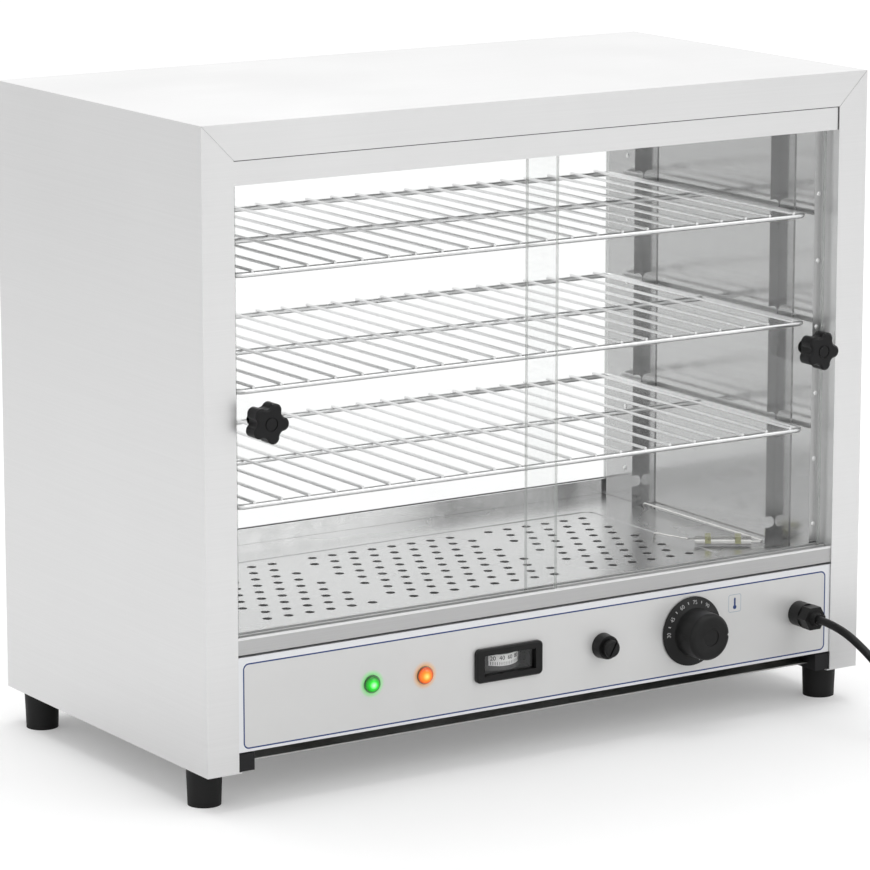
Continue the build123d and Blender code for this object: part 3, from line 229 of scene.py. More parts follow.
def moulded(name, colour, roughness, texture=900.0, bump=0.12, gloss=0.25, rubbed=1.35):
    """Moulded plastic or rubber with a fine grained skin and slightly rubbed high spots."""
    material, tree, shader = new_material(name)
    skin = object_noise(tree, texture, 2.0, 0.5)
    cloud = object_noise(tree, 45.0, 3.0, 0.6)
    worn = tuple(min(1.0, part * rubbed) for part in colour)
    shade = ranged(tree, cloud.outputs["Fac"], 0.0, 0.6, 0.45, 0.75)
    tree.links.new(mixed(tree, shade, colour, worn), shader.inputs["Base Color"])
    rough = ranged(tree, cloud.outputs["Fac"], roughness - 0.06, roughness + 0.06)
    tree.links.new(rough, shader.inputs["Roughness"])
    shader.inputs["Specular IOR Level"].default_value = gloss
    bumped(tree, shader, skin.outputs["Fac"], bump, 0.0001)
    return material


def clear_glass(name, tint, rim, rim_cover):
    """Thin clear pane that looks along y.

    Its faces pass the light straight and mirror a little, its rims show the glass's own colour.
    """
    material, tree, mirror = new_material(name)
    mirror.inputs["Metallic"].default_value = 1.0
    mirror.inputs["Base Color"].default_value = (0.96, 0.97, 0.97, 1.0)
    smear = object_noise(tree, 9.0, 4.0, 0.6)
    tree.links.new(ranged(tree, smear.outputs["Fac"], 0.008, 0.03), mirror.inputs["Roughness"])
    through = node(tree, "ShaderNodeBsdfTransparent")
    through.inputs["Color"].default_value = (*tint, 1.0)
    slant = node(tree, "ShaderNodeLayerWeight")
    slant.inputs["Blend"].default_value = 0.5
    grazing = calc(tree, "POWER", slant.outputs["Facing"], 5.0)
    face = node(tree, "ShaderNodeMixShader")
    tree.links.new(ranged(tree, grazing, square_mirror, 1.0, 0.0, 1.0), face.inputs["Fac"])
    tree.links.new(through.outputs["BSDF"], face.inputs[1])
    tree.links.new(mirror.outputs["BSDF"], face.inputs[2])
    ground = node(tree, "ShaderNodeBsdfPrincipled")
    ground.inputs["Base Color"].default_value = (*rim, 1.0)
    ground.inputs["Roughness"].default_value = 0.3
    ground.inputs["Alpha"].default_value = rim_cover
    steep = calc(tree, "GREATER_THAN", squarely(tree, "Y"), 0.5)
    edge = node(tree, "ShaderNodeMixShader")
    tree.links.new(steep, edge.inputs["Fac"])
    tree.links.new(ground.outputs["BSDF"], edge.inputs[1])
    tree.links.new(face.outputs["Shader"], edge.inputs[2])
    tree.links.new(edge.outputs["Shader"], tree.nodes["Material Output"].inputs["Surface"])
    return material


# Paint placed in the part's own coordinates
def rounded_box(tree, x, z, middle, half, corner):
    """Distance from the outline of a rounded rectangle, negative inside."""
    from_x = calc(tree, "ABSOLUTE", calc(tree, "SUBTRACT", x, middle[0]))
    from_z = calc(tree, "ABSOLUTE", calc(tree, "SUBTRACT", z, middle[1]))
    over_x = calc(tree, "SUBTRACT", from_x, half[0] - corner)
    over_z = calc(tree, "SUBTRACT", from_z, half[1] - corner)
    out_x = calc(tree, "POWER", calc(tree, "MAXIMUM", over_x, 0.0), 2.0)
    out_z = calc(tree, "POWER", calc(tree, "MAXIMUM", over_z, 0.0), 2.0)
    outside = calc(tree, "SQRT", calc(tree, "ADD", out_x, out_z))
    inside = calc(tree, "MINIMUM", calc(tree, "MAXIMUM", over_x, over_z), 0.0)
    return calc(tree, "SUBTRACT", calc(tree, "ADD", outside, inside), corner)


def line(tree, distance, half_width):
    """One on an outline, nothing away from it."""
    return calc(tree, "LESS_THAN", calc(tree, "ABSOLUTE", distance), half_width)


def between(tree, value, low, high):
    """One where a value lies in a range."""
    over = calc(tree, "GREATER_THAN", value, low)
    return calc(tree, "MULTIPLY", over, calc(tree, "LESS_THAN", value, high))


def printed_panel(name):
    """Pale printed facing: a blue border line, a small thermometer sign, the lamps' light on it and painted
    shade in its seams.
    """
    material, tree, shader = new_material(name)
    shader.inputs["Metallic"].default_value = 0.35
    x, _, z = coordinates(tree)
    cloud = object_noise(tree, 14.0, 4.0, 0.6)
    faded = tuple(part * 0.97 for part in panel_colour)
    field = mixed(tree, ranged(tree, cloud.outputs["Fac"], 0.0, 1.0), panel_colour, faded)
    border = rounded_box(tree, x, z, border_middle, border_half, border_corner)
    colour = mixed(tree, calc(tree, "GREATER_THAN", border, 0.0), field, margin_colour)
    colour = mixed(tree, line(tree, border, border_line / 2), colour, print_blue)
    sign = rounded_box(tree, x, z, sign_middle, sign_half, sign_corner)
    colour = mixed(tree, line(tree, sign, sign_line / 2), colour, sign_colour)
    stem_middle = (sign_middle[0], sign_middle[1] + stem_rise)
    bulb_middle = (sign_middle[0], sign_middle[1] - bulb_drop)
    stem = rounded_box(tree, x, z, stem_middle, (stem_radius, stem_reach), stem_radius)
    bulb = rounded_box(tree, x, z, bulb_middle, (bulb_radius, bulb_radius), bulb_radius)
    solid = calc(tree, "LESS_THAN", calc(tree, "MINIMUM", stem, bulb), 0.0)
    colour = mixed(tree, solid, colour, print_blue)
    for lamp, glow_colour in ((green_middle, green_halo), (orange_middle, orange_halo)):
        away = rounded_box(tree, x, z, (lamp.x, lamp.z), (lamp_ring, lamp_ring), lamp_ring)
        lit = ranged(tree, away, halo_strength, 0.0, 0.0, lamp_halo)
        colour = mixed(tree, lit, colour, glow_colour)
    # Painted shade in the panel's seams and gaps
    tree.links.new(shaded_in_creases(tree, colour, 0.003), shader.inputs["Base Color"])
    tree.links.new(ranged(tree, cloud.outputs["Fac"], 0.34, 0.46), shader.inputs["Roughness"])
    skin = object_noise(tree, 1400.0, 2.0, 0.5)
    bumped(tree, shader, skin.outputs["Fac"], 0.04, 0.0001)
    return material


def scale_drum(name):
    """Dark drum with a white scale patch: fine marks along its lower edge."""
    material, tree, shader = new_material(name)
    x, y, z = coordinates(tree)
    from_x = calc(tree, "SUBTRACT", x, drum_x)
    turn = calc(tree, "ARCTAN2", from_x, calc(tree, "SUBTRACT", drum_y, y))
    from_middle = calc(tree, "SUBTRACT", turn, (scale_start + scale_end) / 2)
    sag = calc(tree, "MULTIPLY", calc(tree, "POWER", from_middle, 2.0), scale_sag)
    height = calc(tree, "SUBTRACT", z, sag)
    across = between(tree, turn, scale_start, scale_end)
    patch = calc(tree, "MULTIPLY", across, between(tree, height, scale_low, scale_high))
    colour = mixed(tree, patch, drum_colour, scale_colour)
    from_mark = calc(tree, "PINGPONG", calc(tree, "ADD", turn, 2.0), mark_spacing / 2)
    mark = calc(tree, "LESS_THAN", from_mark, mark_width / 2)
    in_row = between(tree, height, scale_low + mark_foot, scale_low + mark_top)
    marks = calc(tree, "MULTIPLY", calc(tree, "MULTIPLY", mark, in_row), patch)
    tree.links.new(mixed(tree, marks, colour, mark_colour), shader.inputs["Base Color"])
    cloud = object_noise(tree, 300.0, 2.0, 0.5)
    tree.links.new(ranged(tree, cloud.outputs["Fac"], 0.5, 0.62), shader.inputs["Roughness"])
    bumped(tree, shader, cloud.outputs["Fac"], 0.05, 0.0001)
    return material


def painted_lip_highlight(tree, steel):
    """Painted highlight: the sill's rolled upper edge is painted bright, as if it caught the light."""
    z = coordinates(tree)[2]
    return mixed(tree, calc(tree, "GREATER_THAN", z, sill_high.z - lip_highlight_height), steel, lip_highlight_colour)


def painted_gap_shadow(tree, steel):
    """Painted shadow: the top track goes dark along its top and its ends, where it meets the casing's flanges
    and the gap lies in shade.
    """
    x, _, z = coordinates(tree)
    above = calc(tree, "GREATER_THAN", z, top_track_high.z - gap_shadow_above)
    beside = calc(tree, "GREATER_THAN", calc(tree, "ABSOLUTE", x), top_track_high.x - gap_shadow_beside)
    return mixed(tree, calc(tree, "MAXIMUM", above, beside), steel, gap_shadow_colour)


def lens(name, pale, colour, deep, middle, glow):
    """Lit signal lamp lens: pale in the middle, deep in its colour at the rim."""
    material, tree, shader = new_material(name)
    x, _, z = coordinates(tree)
    away_x = calc(tree, "POWER", calc(tree, "SUBTRACT", x, middle.x - pale_shift), 2.0)
    away_z = calc(tree, "POWER", calc(tree, "SUBTRACT", z, middle.z), 2.0)
    away = calc(tree, "SQRT", calc(tree, "ADD", away_x, away_z))
    shade = mixed(tree, ranged(tree, away, 0.0, 1.0, *pale_zone), pale, colour)
    shade = mixed(tree, ranged(tree, away, 0.0, 1.0, *deep_zone), shade, deep)
    tree.links.new(shade, shader.inputs["Base Color"])
    tree.links.new(shade, shader.inputs["Emission Color"])
    shader.inputs["Emission Strength"].default_value = glow
    ribs = object_noise(tree, 700.0, 1.0, 0.4)
    tree.links.new(ranged(tree, ribs.outputs["Fac"], 0.12, 0.22), shader.inputs["Roughness"])
    shader.inputs["Coat Weight"].default_value = 0.4
    bumped(tree, shader, ribs.outputs["Fac"], 0.1, 0.0002)
    return material


def box_middle(name):
    """The middle of a CAD node's box."""
    low_corner, high_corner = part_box(name)
    return (low_corner + high_corner) / 2


# Sizes that paint and pieces share
sill_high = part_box("bottom_door_track")[1]
top_track_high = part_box("top_door_track")[1]
panel_low, panel_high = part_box("control_panel")
knob_low, knob_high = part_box("thermostat_knob")
drum_low, drum_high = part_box("thermometer_drum")
panel_y = panel_low.y
control_z = (panel_low.z + panel_high.z) / 2
dial_x = (knob_low.x + knob_high.x) / 2
drum_x = (drum_low.x + drum_high.x) / 2
drum_y = (drum_low.y + drum_high.y) / 2
drum_radius = (drum_high.x - drum_low.x) / 2

# The panel's print
panel_colour = (0.73, 0.73, 0.725)
margin_colour = (0.84, 0.85, 0.87)
print_blue = (0.030, 0.060, 0.20)
border_middle = (0.0, control_z - 0.0014)
border_half = (panel_high.x - 0.0053, 0.0340)
border_corner = 0.0045
border_line = 0.0012
sign_middle = (0.1910, control_z + 0.0176)
sign_half = (0.0063, 0.0074)
sign_corner = 0.0016
sign_line = 0.0005
sign_colour = (0.40, 0.47, 0.54)
stem_rise = 0.0006
stem_radius = 0.0009
stem_reach = 0.0042
bulb_drop = 0.0034
bulb_radius = 0.0018

# The lamps' light, with distances from the middle of a lens, and beside it on the panel
green_middle = box_middle("green_lamp_lens")
orange_middle = box_middle("orange_lamp_lens")
green_halo = (0.30, 1.0, 0.30)
orange_halo = (1.0, 0.55, 0.22)
lamp_glow = 0.75
lamp_ring = 0.0072
lamp_halo = 0.0045
halo_strength = 0.95
pale_shift = 0.0012
pale_zone = (0.0004, 0.0032)
deep_zone = (0.0030, 0.0062)

# The thermometer's scale: heights in metres, places round the drum in radians
scale_low = control_z - 0.0040
scale_high = control_z + 0.0056
scale_start = -0.64
scale_end = 0.66
scale_sag = 0.0022
mark_spacing = 0.08
mark_width = 0.018
mark_foot = 0.0006
mark_top = 0.0034
drum_colour = (0.085, 0.085, 0.085)
scale_colour = (0.96, 0.96, 0.95)
mark_colour = (0.05, 0.05, 0.05)

# The sill's painted highlight on its lip, and the top track's painted shadow along its joint
lip_highlight_height = 0.0018
lip_highlight_colour = (0.84, 0.84, 0.84)
gap_shadow_above = 0.0009
gap_shadow_beside = 0.0008
gap_shadow_colour = (0.10, 0.10, 0.10)

# Where a reach for shade is given, the steel gets painted shade in seams and gaps; the top track's paint is a
# painted shadow, the sill's a painted highlight
casing_steel = brushed_metal("casing_steel", (0.80, 0.80, 0.80), 0.025, 0.36, 900.0, crease_shade_reach=0.003)
top_track_steel = brushed_metal("top_track_steel", (0.80, 0.80, 0.80), 0.025, 0.36, 900.0, paint=painted_gap_shadow)
liner_steel = brushed_metal("liner_steel", (0.61, 0.61, 0.61), 0.05, 0.14, 420.0, 0.03, 0.03, 0.004)
upright_steel = brushed_metal("upright_steel", (0.47, 0.47, 0.47), 0.08, 0.18, 420.0, 0.03, 0.03, 0.003)
floor_steel = brushed_metal("floor_steel", (0.70, 0.70, 0.70), 0.03, 0.26, 420.0, 0.04, 0.02, 0.004)
sill_metal = brushed_metal("sill_metal", (0.54, 0.54, 0.54), 0.05, 0.48, 1300.0, 0.04, 0.04, paint=painted_lip_highlight)
pan_steel = brushed_metal("pan_steel", (0.50, 0.50, 0.49), 0.06, 0.4, 700.0, 0.05, 0.04, 0.006)
wire_metal = plain_metal("wire_metal", (0.98, 0.98, 0.98), 0.32, 120.0, 0.01, 0.03)
channel_metal = plain_metal("channel_metal", (0.96, 0.96, 0.96), 0.16, 90.0, 0.0, 0.03)
rivet_metal = plain_metal("rivet_metal", (0.92, 0.92, 0.92), 0.22, 200.0)
screw_metal = plain_metal("screw_metal", (0.72, 0.72, 0.70), 0.3, 150.0)
bezel_metal = plain_metal("bezel_metal", (0.20, 0.20, 0.20), 0.35, 150.0)
element_metal = plain_metal("element_metal", (0.22, 0.19, 0.17), 0.5, 120.0, 0.1)
bulb_metal = plain_metal("bulb_metal", (0.90, 0.89, 0.87), 0.16, 150.0, metallic=0.8)
clip_metal = plain_metal("clip_metal", (0.50, 0.50, 0.28), 0.3, 150.0)
brass = plain_metal("brass", (0.78, 0.6, 0.3), 0.25, 150.0)
black_plastic = moulded("black_plastic", (0.007, 0.007, 0.007), 0.36)
knob_plastic = moulded("knob_plastic", (0.006, 0.006, 0.0065), 0.32, 1300.0, 0.06)
dial_plastic = moulded("dial_plastic", (0.009, 0.009, 0.009), 0.40, 1100.0, 0.07)
foot_rubber = moulded("foot_rubber", (0.010, 0.010, 0.010), 0.55, 700.0, 0.2)
block_plastic = moulded("block_plastic", (0.012, 0.012, 0.013), 0.5)
cord_rubber = moulded("cord_rubber", (0.008, 0.008, 0.008), 0.42, 600.0, 0.12)
ceramic = moulded("ceramic", (0.74, 0.72, 0.66), 0.5, 500.0, 0.1, 0.5, 1.05)
print_white = moulded("print_white", (0.42, 0.42, 0.42), 0.5, 900.0, 0.05, 0.4, 1.1)
print_black = moulded("print_black", (0.03, 0.03, 0.03), 0.5, 900.0, 0.05)
panel_print = printed_panel("panel_print")
drum_skin = scale_drum("drum_skin")
pane_glass = clear_glass("pane_glass", (0.974, 0.976, 0.975), (0.60, 0.63, 0.61), 0.5)
window_glass = clear_glass("window_glass", (0.98, 0.98, 0.98), (0.10, 0.10, 0.10), 1.0)


green_lens = lens(
    "green_lens", (0.40, 1.0, 0.42), (0.0, 0.60, 0.01), (0.0, 0.10, 0.0), green_middle, lamp_glow,
)
orange_lens = lens(
    "orange_lens", (1.0, 0.56, 0.12), (1.0, 0.21, 0.0), (0.42, 0.05, 0.0), orange_middle, lamp_glow,
)

looks = {
    casing_steel: ["outer_casing", "rear_panel"],
    channel_metal: ["rear_top_channel", "rear_bottom_channel"],
    top_track_steel: ["top_door_track"],
    panel_print: ["control_panel"],
    liner_steel: ["left_liner", "right_liner", "ceiling_liner"],
    upright_steel: ["front_left_upright", "rear_left_upright", "front_right_upright", "rear_right_upright"],
    floor_steel: ["perforated_floor"],
    sill_metal: ["bottom_door_track"],
    pan_steel: ["base_pan", "element_brackets"],
    wire_metal: ["bottom_rack", "middle_rack", "top_rack"],
    screw_metal: ["foot_screws", "left_knob_screw", "right_knob_screw", "thermostat_shaft"],
    bezel_metal: ["lamp_bezels"],
    element_metal: ["heating_element"],
    bulb_metal: ["sensor_bulbs", "capillaries"],
    clip_metal: ["sensor_clips"],
    brass: ["plug_pins"],
    black_plastic: [
        "thermometer_bezel", "thermometer_body", "reset_bezel", "reset_button", "cable_gland",
        "gland_locknut", "lamp_bodies", "coil_tie", "plug_body", "left_knob_washers", "right_knob_washers",
    ],
    knob_plastic: ["left_door_knob", "right_door_knob"],
    dial_plastic: ["thermostat_knob"],
    foot_rubber: ["feet"],
    block_plastic: ["corner_blocks"],
    cord_rubber: ["inner_cable"],
    ceramic: ["limiter_body", "thermostat_body", "terminal_block"],
    drum_skin: ["thermometer_drum"],
    pane_glass: ["left_door_glass", "right_door_glass", "rear_glass"],
    window_glass: ["thermometer_window"],
    green_lens: ["green_lamp_lens"],
    orange_lens: ["orange_lamp_lens"],
}
for material, names in looks.items():
    for name in names:
        if name in nodes:
            for slot in nodes[name].material_slots:
                slot.material = material

# Supply cord: one spline down to the counter, round the coil and on to the plug
cord_diameter = 0.007
tie_thickness = 0.0007
tie_gap = 0.0003
coil_pitch = 0.0076
coil_turns_in = 3
climb_turns = 0.5
coil_inner_radius = 0.0248
coil_points_per_turn = 16
straight_end = 2 * 0.0035
plug_flat = 0.0155
gland_low, gland_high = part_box("cable_gland")
casing_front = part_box("outer_casing")[0].y
gland_x = (gland_low.x + gland_high.x) / 2
gland_z = (gland_low.z + gland_high.z) / 2
exit_point = Vector((gland_x, gland_low.y, gland_z))
coil_outer_radius = coil_inner_radius + coil_turns_in * coil_pitch
coil_centre = Vector((0.350, casing_front - 0.142, 0.0))
coil_front_y = coil_centre.y - coil_outer_radius
coil_low = tie_thickness + tie_gap + cord_diameter / 2
coil_high = coil_low + coil_pitch

lead_points = [
    exit_point,
    exit_point + Vector((0, -0.026, 0)),
    exit_point + Vector((0.002, -0.062, -0.014)),
    exit_point + Vector((0.007, -0.098, -0.040)),
    exit_point + Vector((0.018, -0.129, -0.066)),
    Vector((gland_x + 0.040, coil_front_y + 0.003, 0.0075)),
    Vector((coil_centre.x - straight_end - 0.014, coil_front_y, coil_low)),
]
tail_points = [
    Vector((coil_centre.x + straight_end + 0.024, coil_front_y, coil_high)),
    Vector((coil_centre.x + straight_end + 0.050, coil_front_y + 0.007, plug_flat - 0.0006)),
    Vector((coil_centre.x + straight_end + 0.072, coil_front_y + 0.024, plug_flat)),
    Vector((coil_centre.x + straight_end + 0.084, coil_front_y + 0.048, plug_flat)),
]


def coil_points():
    """Control points of the coil: in on the lower layer, up in half a turn, out on the upper one."""
    widen = 1 / math.cos(math.pi / coil_points_per_turn)
    turns_out = coil_turns_in - climb_turns
    points = []
    for step in range(2 * coil_turns_in * coil_points_per_turn + 1):
        turns = step / coil_points_per_turn
        climb = min(1.0, max(0.0, (turns - coil_turns_in) / climb_turns))
        if turns <= coil_turns_in:
            radius = coil_outer_radius - turns * coil_pitch
        else:
            outwards = max(0.0, turns - coil_turns_in - climb_turns) / turns_out
            radius = coil_inner_radius + outwards * coil_pitch * coil_turns_in
        angle = -math.pi / 2 + turns * 2 * math.pi
        points.append(Vector((
            coil_centre.x + radius * widen * math.cos(angle),
            coil_centre.y + radius * widen * math.sin(angle),
            coil_low + climb * coil_pitch,
        )))
    return points


def tube(name, points, radius, material):
    """A round tube on one open NURBS spline."""
    curve = bpy.data.curves.new(name, "CURVE")
    curve.dimensions = "3D"
    curve.bevel_depth = radius
    curve.bevel_resolution = 5
    curve.use_fill_caps = True
    curve.resolution_u = 8
    spline = curve.splines.new("NURBS")
    spline.points.add(len(points) - 1)
    for place, point in zip(spline.points, points):
        place.co = (*point, 1.0)
    spline.order_u = 3
    spline.use_endpoint_u = True
    made = bpy.data.objects.new(name, curve)
    made.data.materials.append(material)
    scene.collection.objects.link(made)
    return made


cord_route = lead_points + coil_points() + tail_points
cord = tube("supply_cord", cord_route, cord_diameter / 2, cord_rubber)
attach(cord, "cabinet")
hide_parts("cord_lead", "cord_coil", "cord_tail")


# Pieces built round the dial, the lamps, the racks and the chamber floor
def made_mesh(name, points, faces, material, sharp_angle=35.0):
    """A mesh object, smooth but for its sharp edges."""
    mesh = bpy.data.meshes.new(name)
    mesh.from_pydata(points, [], faces)
    work = bmesh.new()
    work.from_mesh(mesh)
    bmesh.ops.recalc_face_normals(work, faces=work.faces)
    work.to_mesh(mesh)
    work.free()
    for face in mesh.polygons:
        face.use_smooth = True
    mesh.set_sharp_from_angle(angle=math.radians(sharp_angle))
    mesh.materials.append(material)
    made = bpy.data.objects.new(name, mesh)
    scene.collection.objects.link(made)
    return made


def turned(name, profile, middle, steps, material, dent=None):
    """A closed profile of radius and reach turned about an axis along y; reach goes to the front."""
    points = []
    rings = []
    for radius, reach in profile:
        if radius == 0:
            rings.append([len(points)] * steps)
            points.append((middle[0], panel_y - reach, middle[1]))
            continue
        rings.append(list(range(len(points), len(points) + steps)))
        for step in range(steps):
            angle = step * 2 * math.pi / steps
            pressed = radius - (dent(angle, radius, reach) if dent else 0.0)
            points.append((
                middle[0] + pressed * math.cos(angle), panel_y - reach, middle[1] + pressed * math.sin(angle),
            ))
    faces = []
    for first, second in zip(rings, rings[1:]):
        for step in range(steps):
            other = (step + 1) % steps
            corners = [first[step], first[other], second[other], second[step]]
            face = [corner for place, corner in enumerate(corners) if corner not in corners[:place]]
            if len(face) > 2:
                faces.append(face)
    return made_mesh(name, points, faces, material)


def arc(middle_radius, middle_reach, size, start, end, count):
    """Points of a rounded edge in a profile, by angle from the radius towards the reach."""
    return [
        (
            middle_radius + size * math.cos(math.radians(start + (end - start) * part / count)),
            middle_reach + size * math.sin(math.radians(start + (end - start) * part / count)),
        )
        for part in range(count + 1)
    ]


dial_middle = (dial_x, control_z)
dial_steps = 160
dial_back = panel_y - knob_high.y
dial_front = panel_y - knob_low.y
skirt_radius = (knob_high.x - knob_low.x) / 2
skirt_rim = dial_back + 0.0016
skirt_top = skirt_rim + 0.0026
grip_radius = 0.0202
shoulder = 0.0042
face_recess = 0.0075
face_depth = 0.0008
bore_radius = 0.00305
bore_depth = 0.022
rounding = 0.0006
flank_start = 0.0065
flank_taper = 0.0003
flank_steps = 8
notch_depth = 0.0011
notch_angle = 0.055
notch_reach = dial_front - 0.007
dimple_depth = 0.0010
dimple_angle = 0.11
dimple_reach = 0.0165
dimple_length = 0.0035


def dial_dents(angle, radius, reach):
    """The small notch at the grip's right edge and the dimple on its left flank."""
    if radius < 0.012 or reach < skirt_top + 0.001:
        return 0.0
    from_right = math.remainder(angle, 2 * math.pi) / notch_angle
    from_left = math.remainder(angle - math.pi, 2 * math.pi) / dimple_angle
    notch = notch_depth * math.exp(-from_right ** 2) if reach > notch_reach else 0.0
    dimple = dimple_depth * math.exp(-from_left ** 2 - ((reach - dimple_reach) / dimple_length) ** 2)
    return notch + dimple


flank_length = dial_front - shoulder - flank_start
flank = [
    (grip_radius - flank_taper * part / flank_steps, flank_start + flank_length * part / flank_steps)
    for part in range(flank_steps + 1)
]
dial_profile = [
    (0.0, dial_back + bore_depth), (bore_radius, dial_back + bore_depth), (bore_radius, dial_back),
    (skirt_radius - rounding, dial_back),
    *arc(skirt_radius - rounding, dial_back + rounding, rounding, -90, 0, 3),
    *arc(skirt_radius - rounding, skirt_rim - rounding, rounding, 0, 72, 4),
    (grip_radius + 0.0011, skirt_top - 0.0001), (grip_radius + 0.0004, skirt_top + 0.0004),
    *flank,
    *arc(grip_radius - flank_taper - shoulder, dial_front - shoulder, shoulder, 4, 90, 10),
    (face_recess + 0.0005, dial_front), (face_recess + 0.0001, dial_front - 0.0002),
    (face_recess, dial_front - face_depth), (0.0, dial_front - face_depth),
]
dial_cap = turned("dial_cap", dial_profile, dial_middle, dial_steps, dial_plastic, dial_dents)
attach(dial_cap, "dial")
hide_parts("thermostat_knob")


def numeral(text, size, thickness):
    """Points and faces of plain numbers, centred, as a solid of a small thickness."""
    curve = bpy.data.curves.new("numeral", "FONT")
    curve.body = text
    curve.size = size
    curve.align_x = "CENTER"
    curve.align_y = "CENTER"
    curve.extrude = thickness / 2
    curve.resolution_u = 3
    holder = bpy.data.objects.new("numeral", curve)
    mesh = bpy.data.meshes.new_from_object(holder)
    points = [tuple(vertex.co) for vertex in mesh.vertices]
    faces = [tuple(face.vertices) for face in mesh.polygons]
    bpy.data.objects.remove(holder)
    bpy.data.meshes.remove(mesh)
    return points, faces


def bar(width, height, thickness):
    """Points and faces of a thin straight mark."""
    signs = [(-1, -1), (1, -1), (1, 1), (-1, 1)]
    points = [(a * width / 2, b * height / 2, c * thickness / 2) for c in (-1, 1) for a, b in signs]
    sides = [(n, (n + 1) % 4, (n + 1) % 4 + 4, n + 4) for n in range(4)]
    return points, [(3, 2, 1, 0), (4, 5, 6, 7), *sides]


def gathered(name, marks, material):
    """One object from marks, each its points, its faces and what puts a point in place."""
    points = []
    faces = []
    for mark_points, mark_faces, placed in marks:
        start = len(points)
        points.extend(placed(*point) for point in mark_points)
        faces.extend(tuple(start + corner for corner in face) for face in mark_faces)
    return made_mesh(name, points, faces, material)


print_thickness = 0.00012
skirt_number_size = 0.0046
skirt_number_radius = 0.0249
skirt_bar = (0.0008, 0.0020)
skirt_bar_radius = 0.0254
scale_number_size = 0.0050
scale_number_z = control_z + 0.0026
skirt_slope = (skirt_top - skirt_rim) / (skirt_radius - grip_radius)


def on_skirt(degrees, radius):
    """What lays a mark on the dial's skirt, its top outwards, at an angle from three o'clock."""
    angle = math.radians(degrees)

    def placed(across, up, out):
        from_axis = radius + up
        x = from_axis * math.cos(angle) + across * math.sin(angle)
        z = from_axis * math.sin(angle) - across * math.cos(angle)
        lift = skirt_rim + (skirt_radius - math.hypot(x, z)) * skirt_slope + print_thickness / 2
        return dial_x + x, panel_y - lift - out, control_z + z

    return placed


def on_drum(turn, height):
    """What lays a mark round the thermometer's drum."""
    def placed(across, up, out):
        angle = turn + across / drum_radius
        size = drum_radius + print_thickness / 2 + out
        return drum_x + size * math.sin(angle), drum_y - size * math.cos(angle), height + up

    return placed


skirt_numbers = zip(("30", "45", "60", "75", "90"), (180, 149, 118, 87, 56))
skirt_marks = [
    (*numeral(text, skirt_number_size, print_thickness), on_skirt(place, skirt_number_radius))
    for text, place in skirt_numbers
]
for place in (164.5, 133.5, 102.5, 71.5, 285.0):
    skirt_marks.append((*bar(*skirt_bar, print_thickness), on_skirt(place, skirt_bar_radius)))
dial_marks = gathered("dial_marks", skirt_marks, print_white)
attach(dial_marks, "dial")

scale_numbers = zip(("20", "40", "60", "80"), (-0.48, -0.15, 0.17, 0.49))
scale_marks = [
    (*numeral(text, scale_number_size, print_thickness), on_drum(turn, scale_number_z))
    for text, turn in scale_numbers
]
drum_numbers = gathered("drum_numbers", scale_marks, print_black)
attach(drum_numbers, "meter_drum")

# Lamp lenses: glowing domes over their rings
dome_radius = 0.0069
ring_reach = 0.00145
dome_step = 9
dome_sides = 48
for name, replaced, slot_name, material in (
    ("green_lamp_dome", "green_lamp_lens", "green", green_lens),
    ("orange_lamp_dome", "orange_lamp_lens", "orange", orange_lens),
):
    lens_low, lens_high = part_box(replaced)
    dome_reach = panel_y - lens_low.y
    dome = []
    for step in range(0, 90, dome_step):
        lean = math.radians(step)
        dome.append((dome_radius * math.cos(lean), ring_reach + (dome_reach - ring_reach) * math.sin(lean)))
    lens_piece = turned(
        name, [(0.0, ring_reach), *dome, (0.0, dome_reach)],
        ((lens_low.x + lens_high.x) / 2, (lens_low.z + lens_high.z) / 2), dome_sides, material,
    )
    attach(lens_piece, "cabinet")
    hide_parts(replaced)

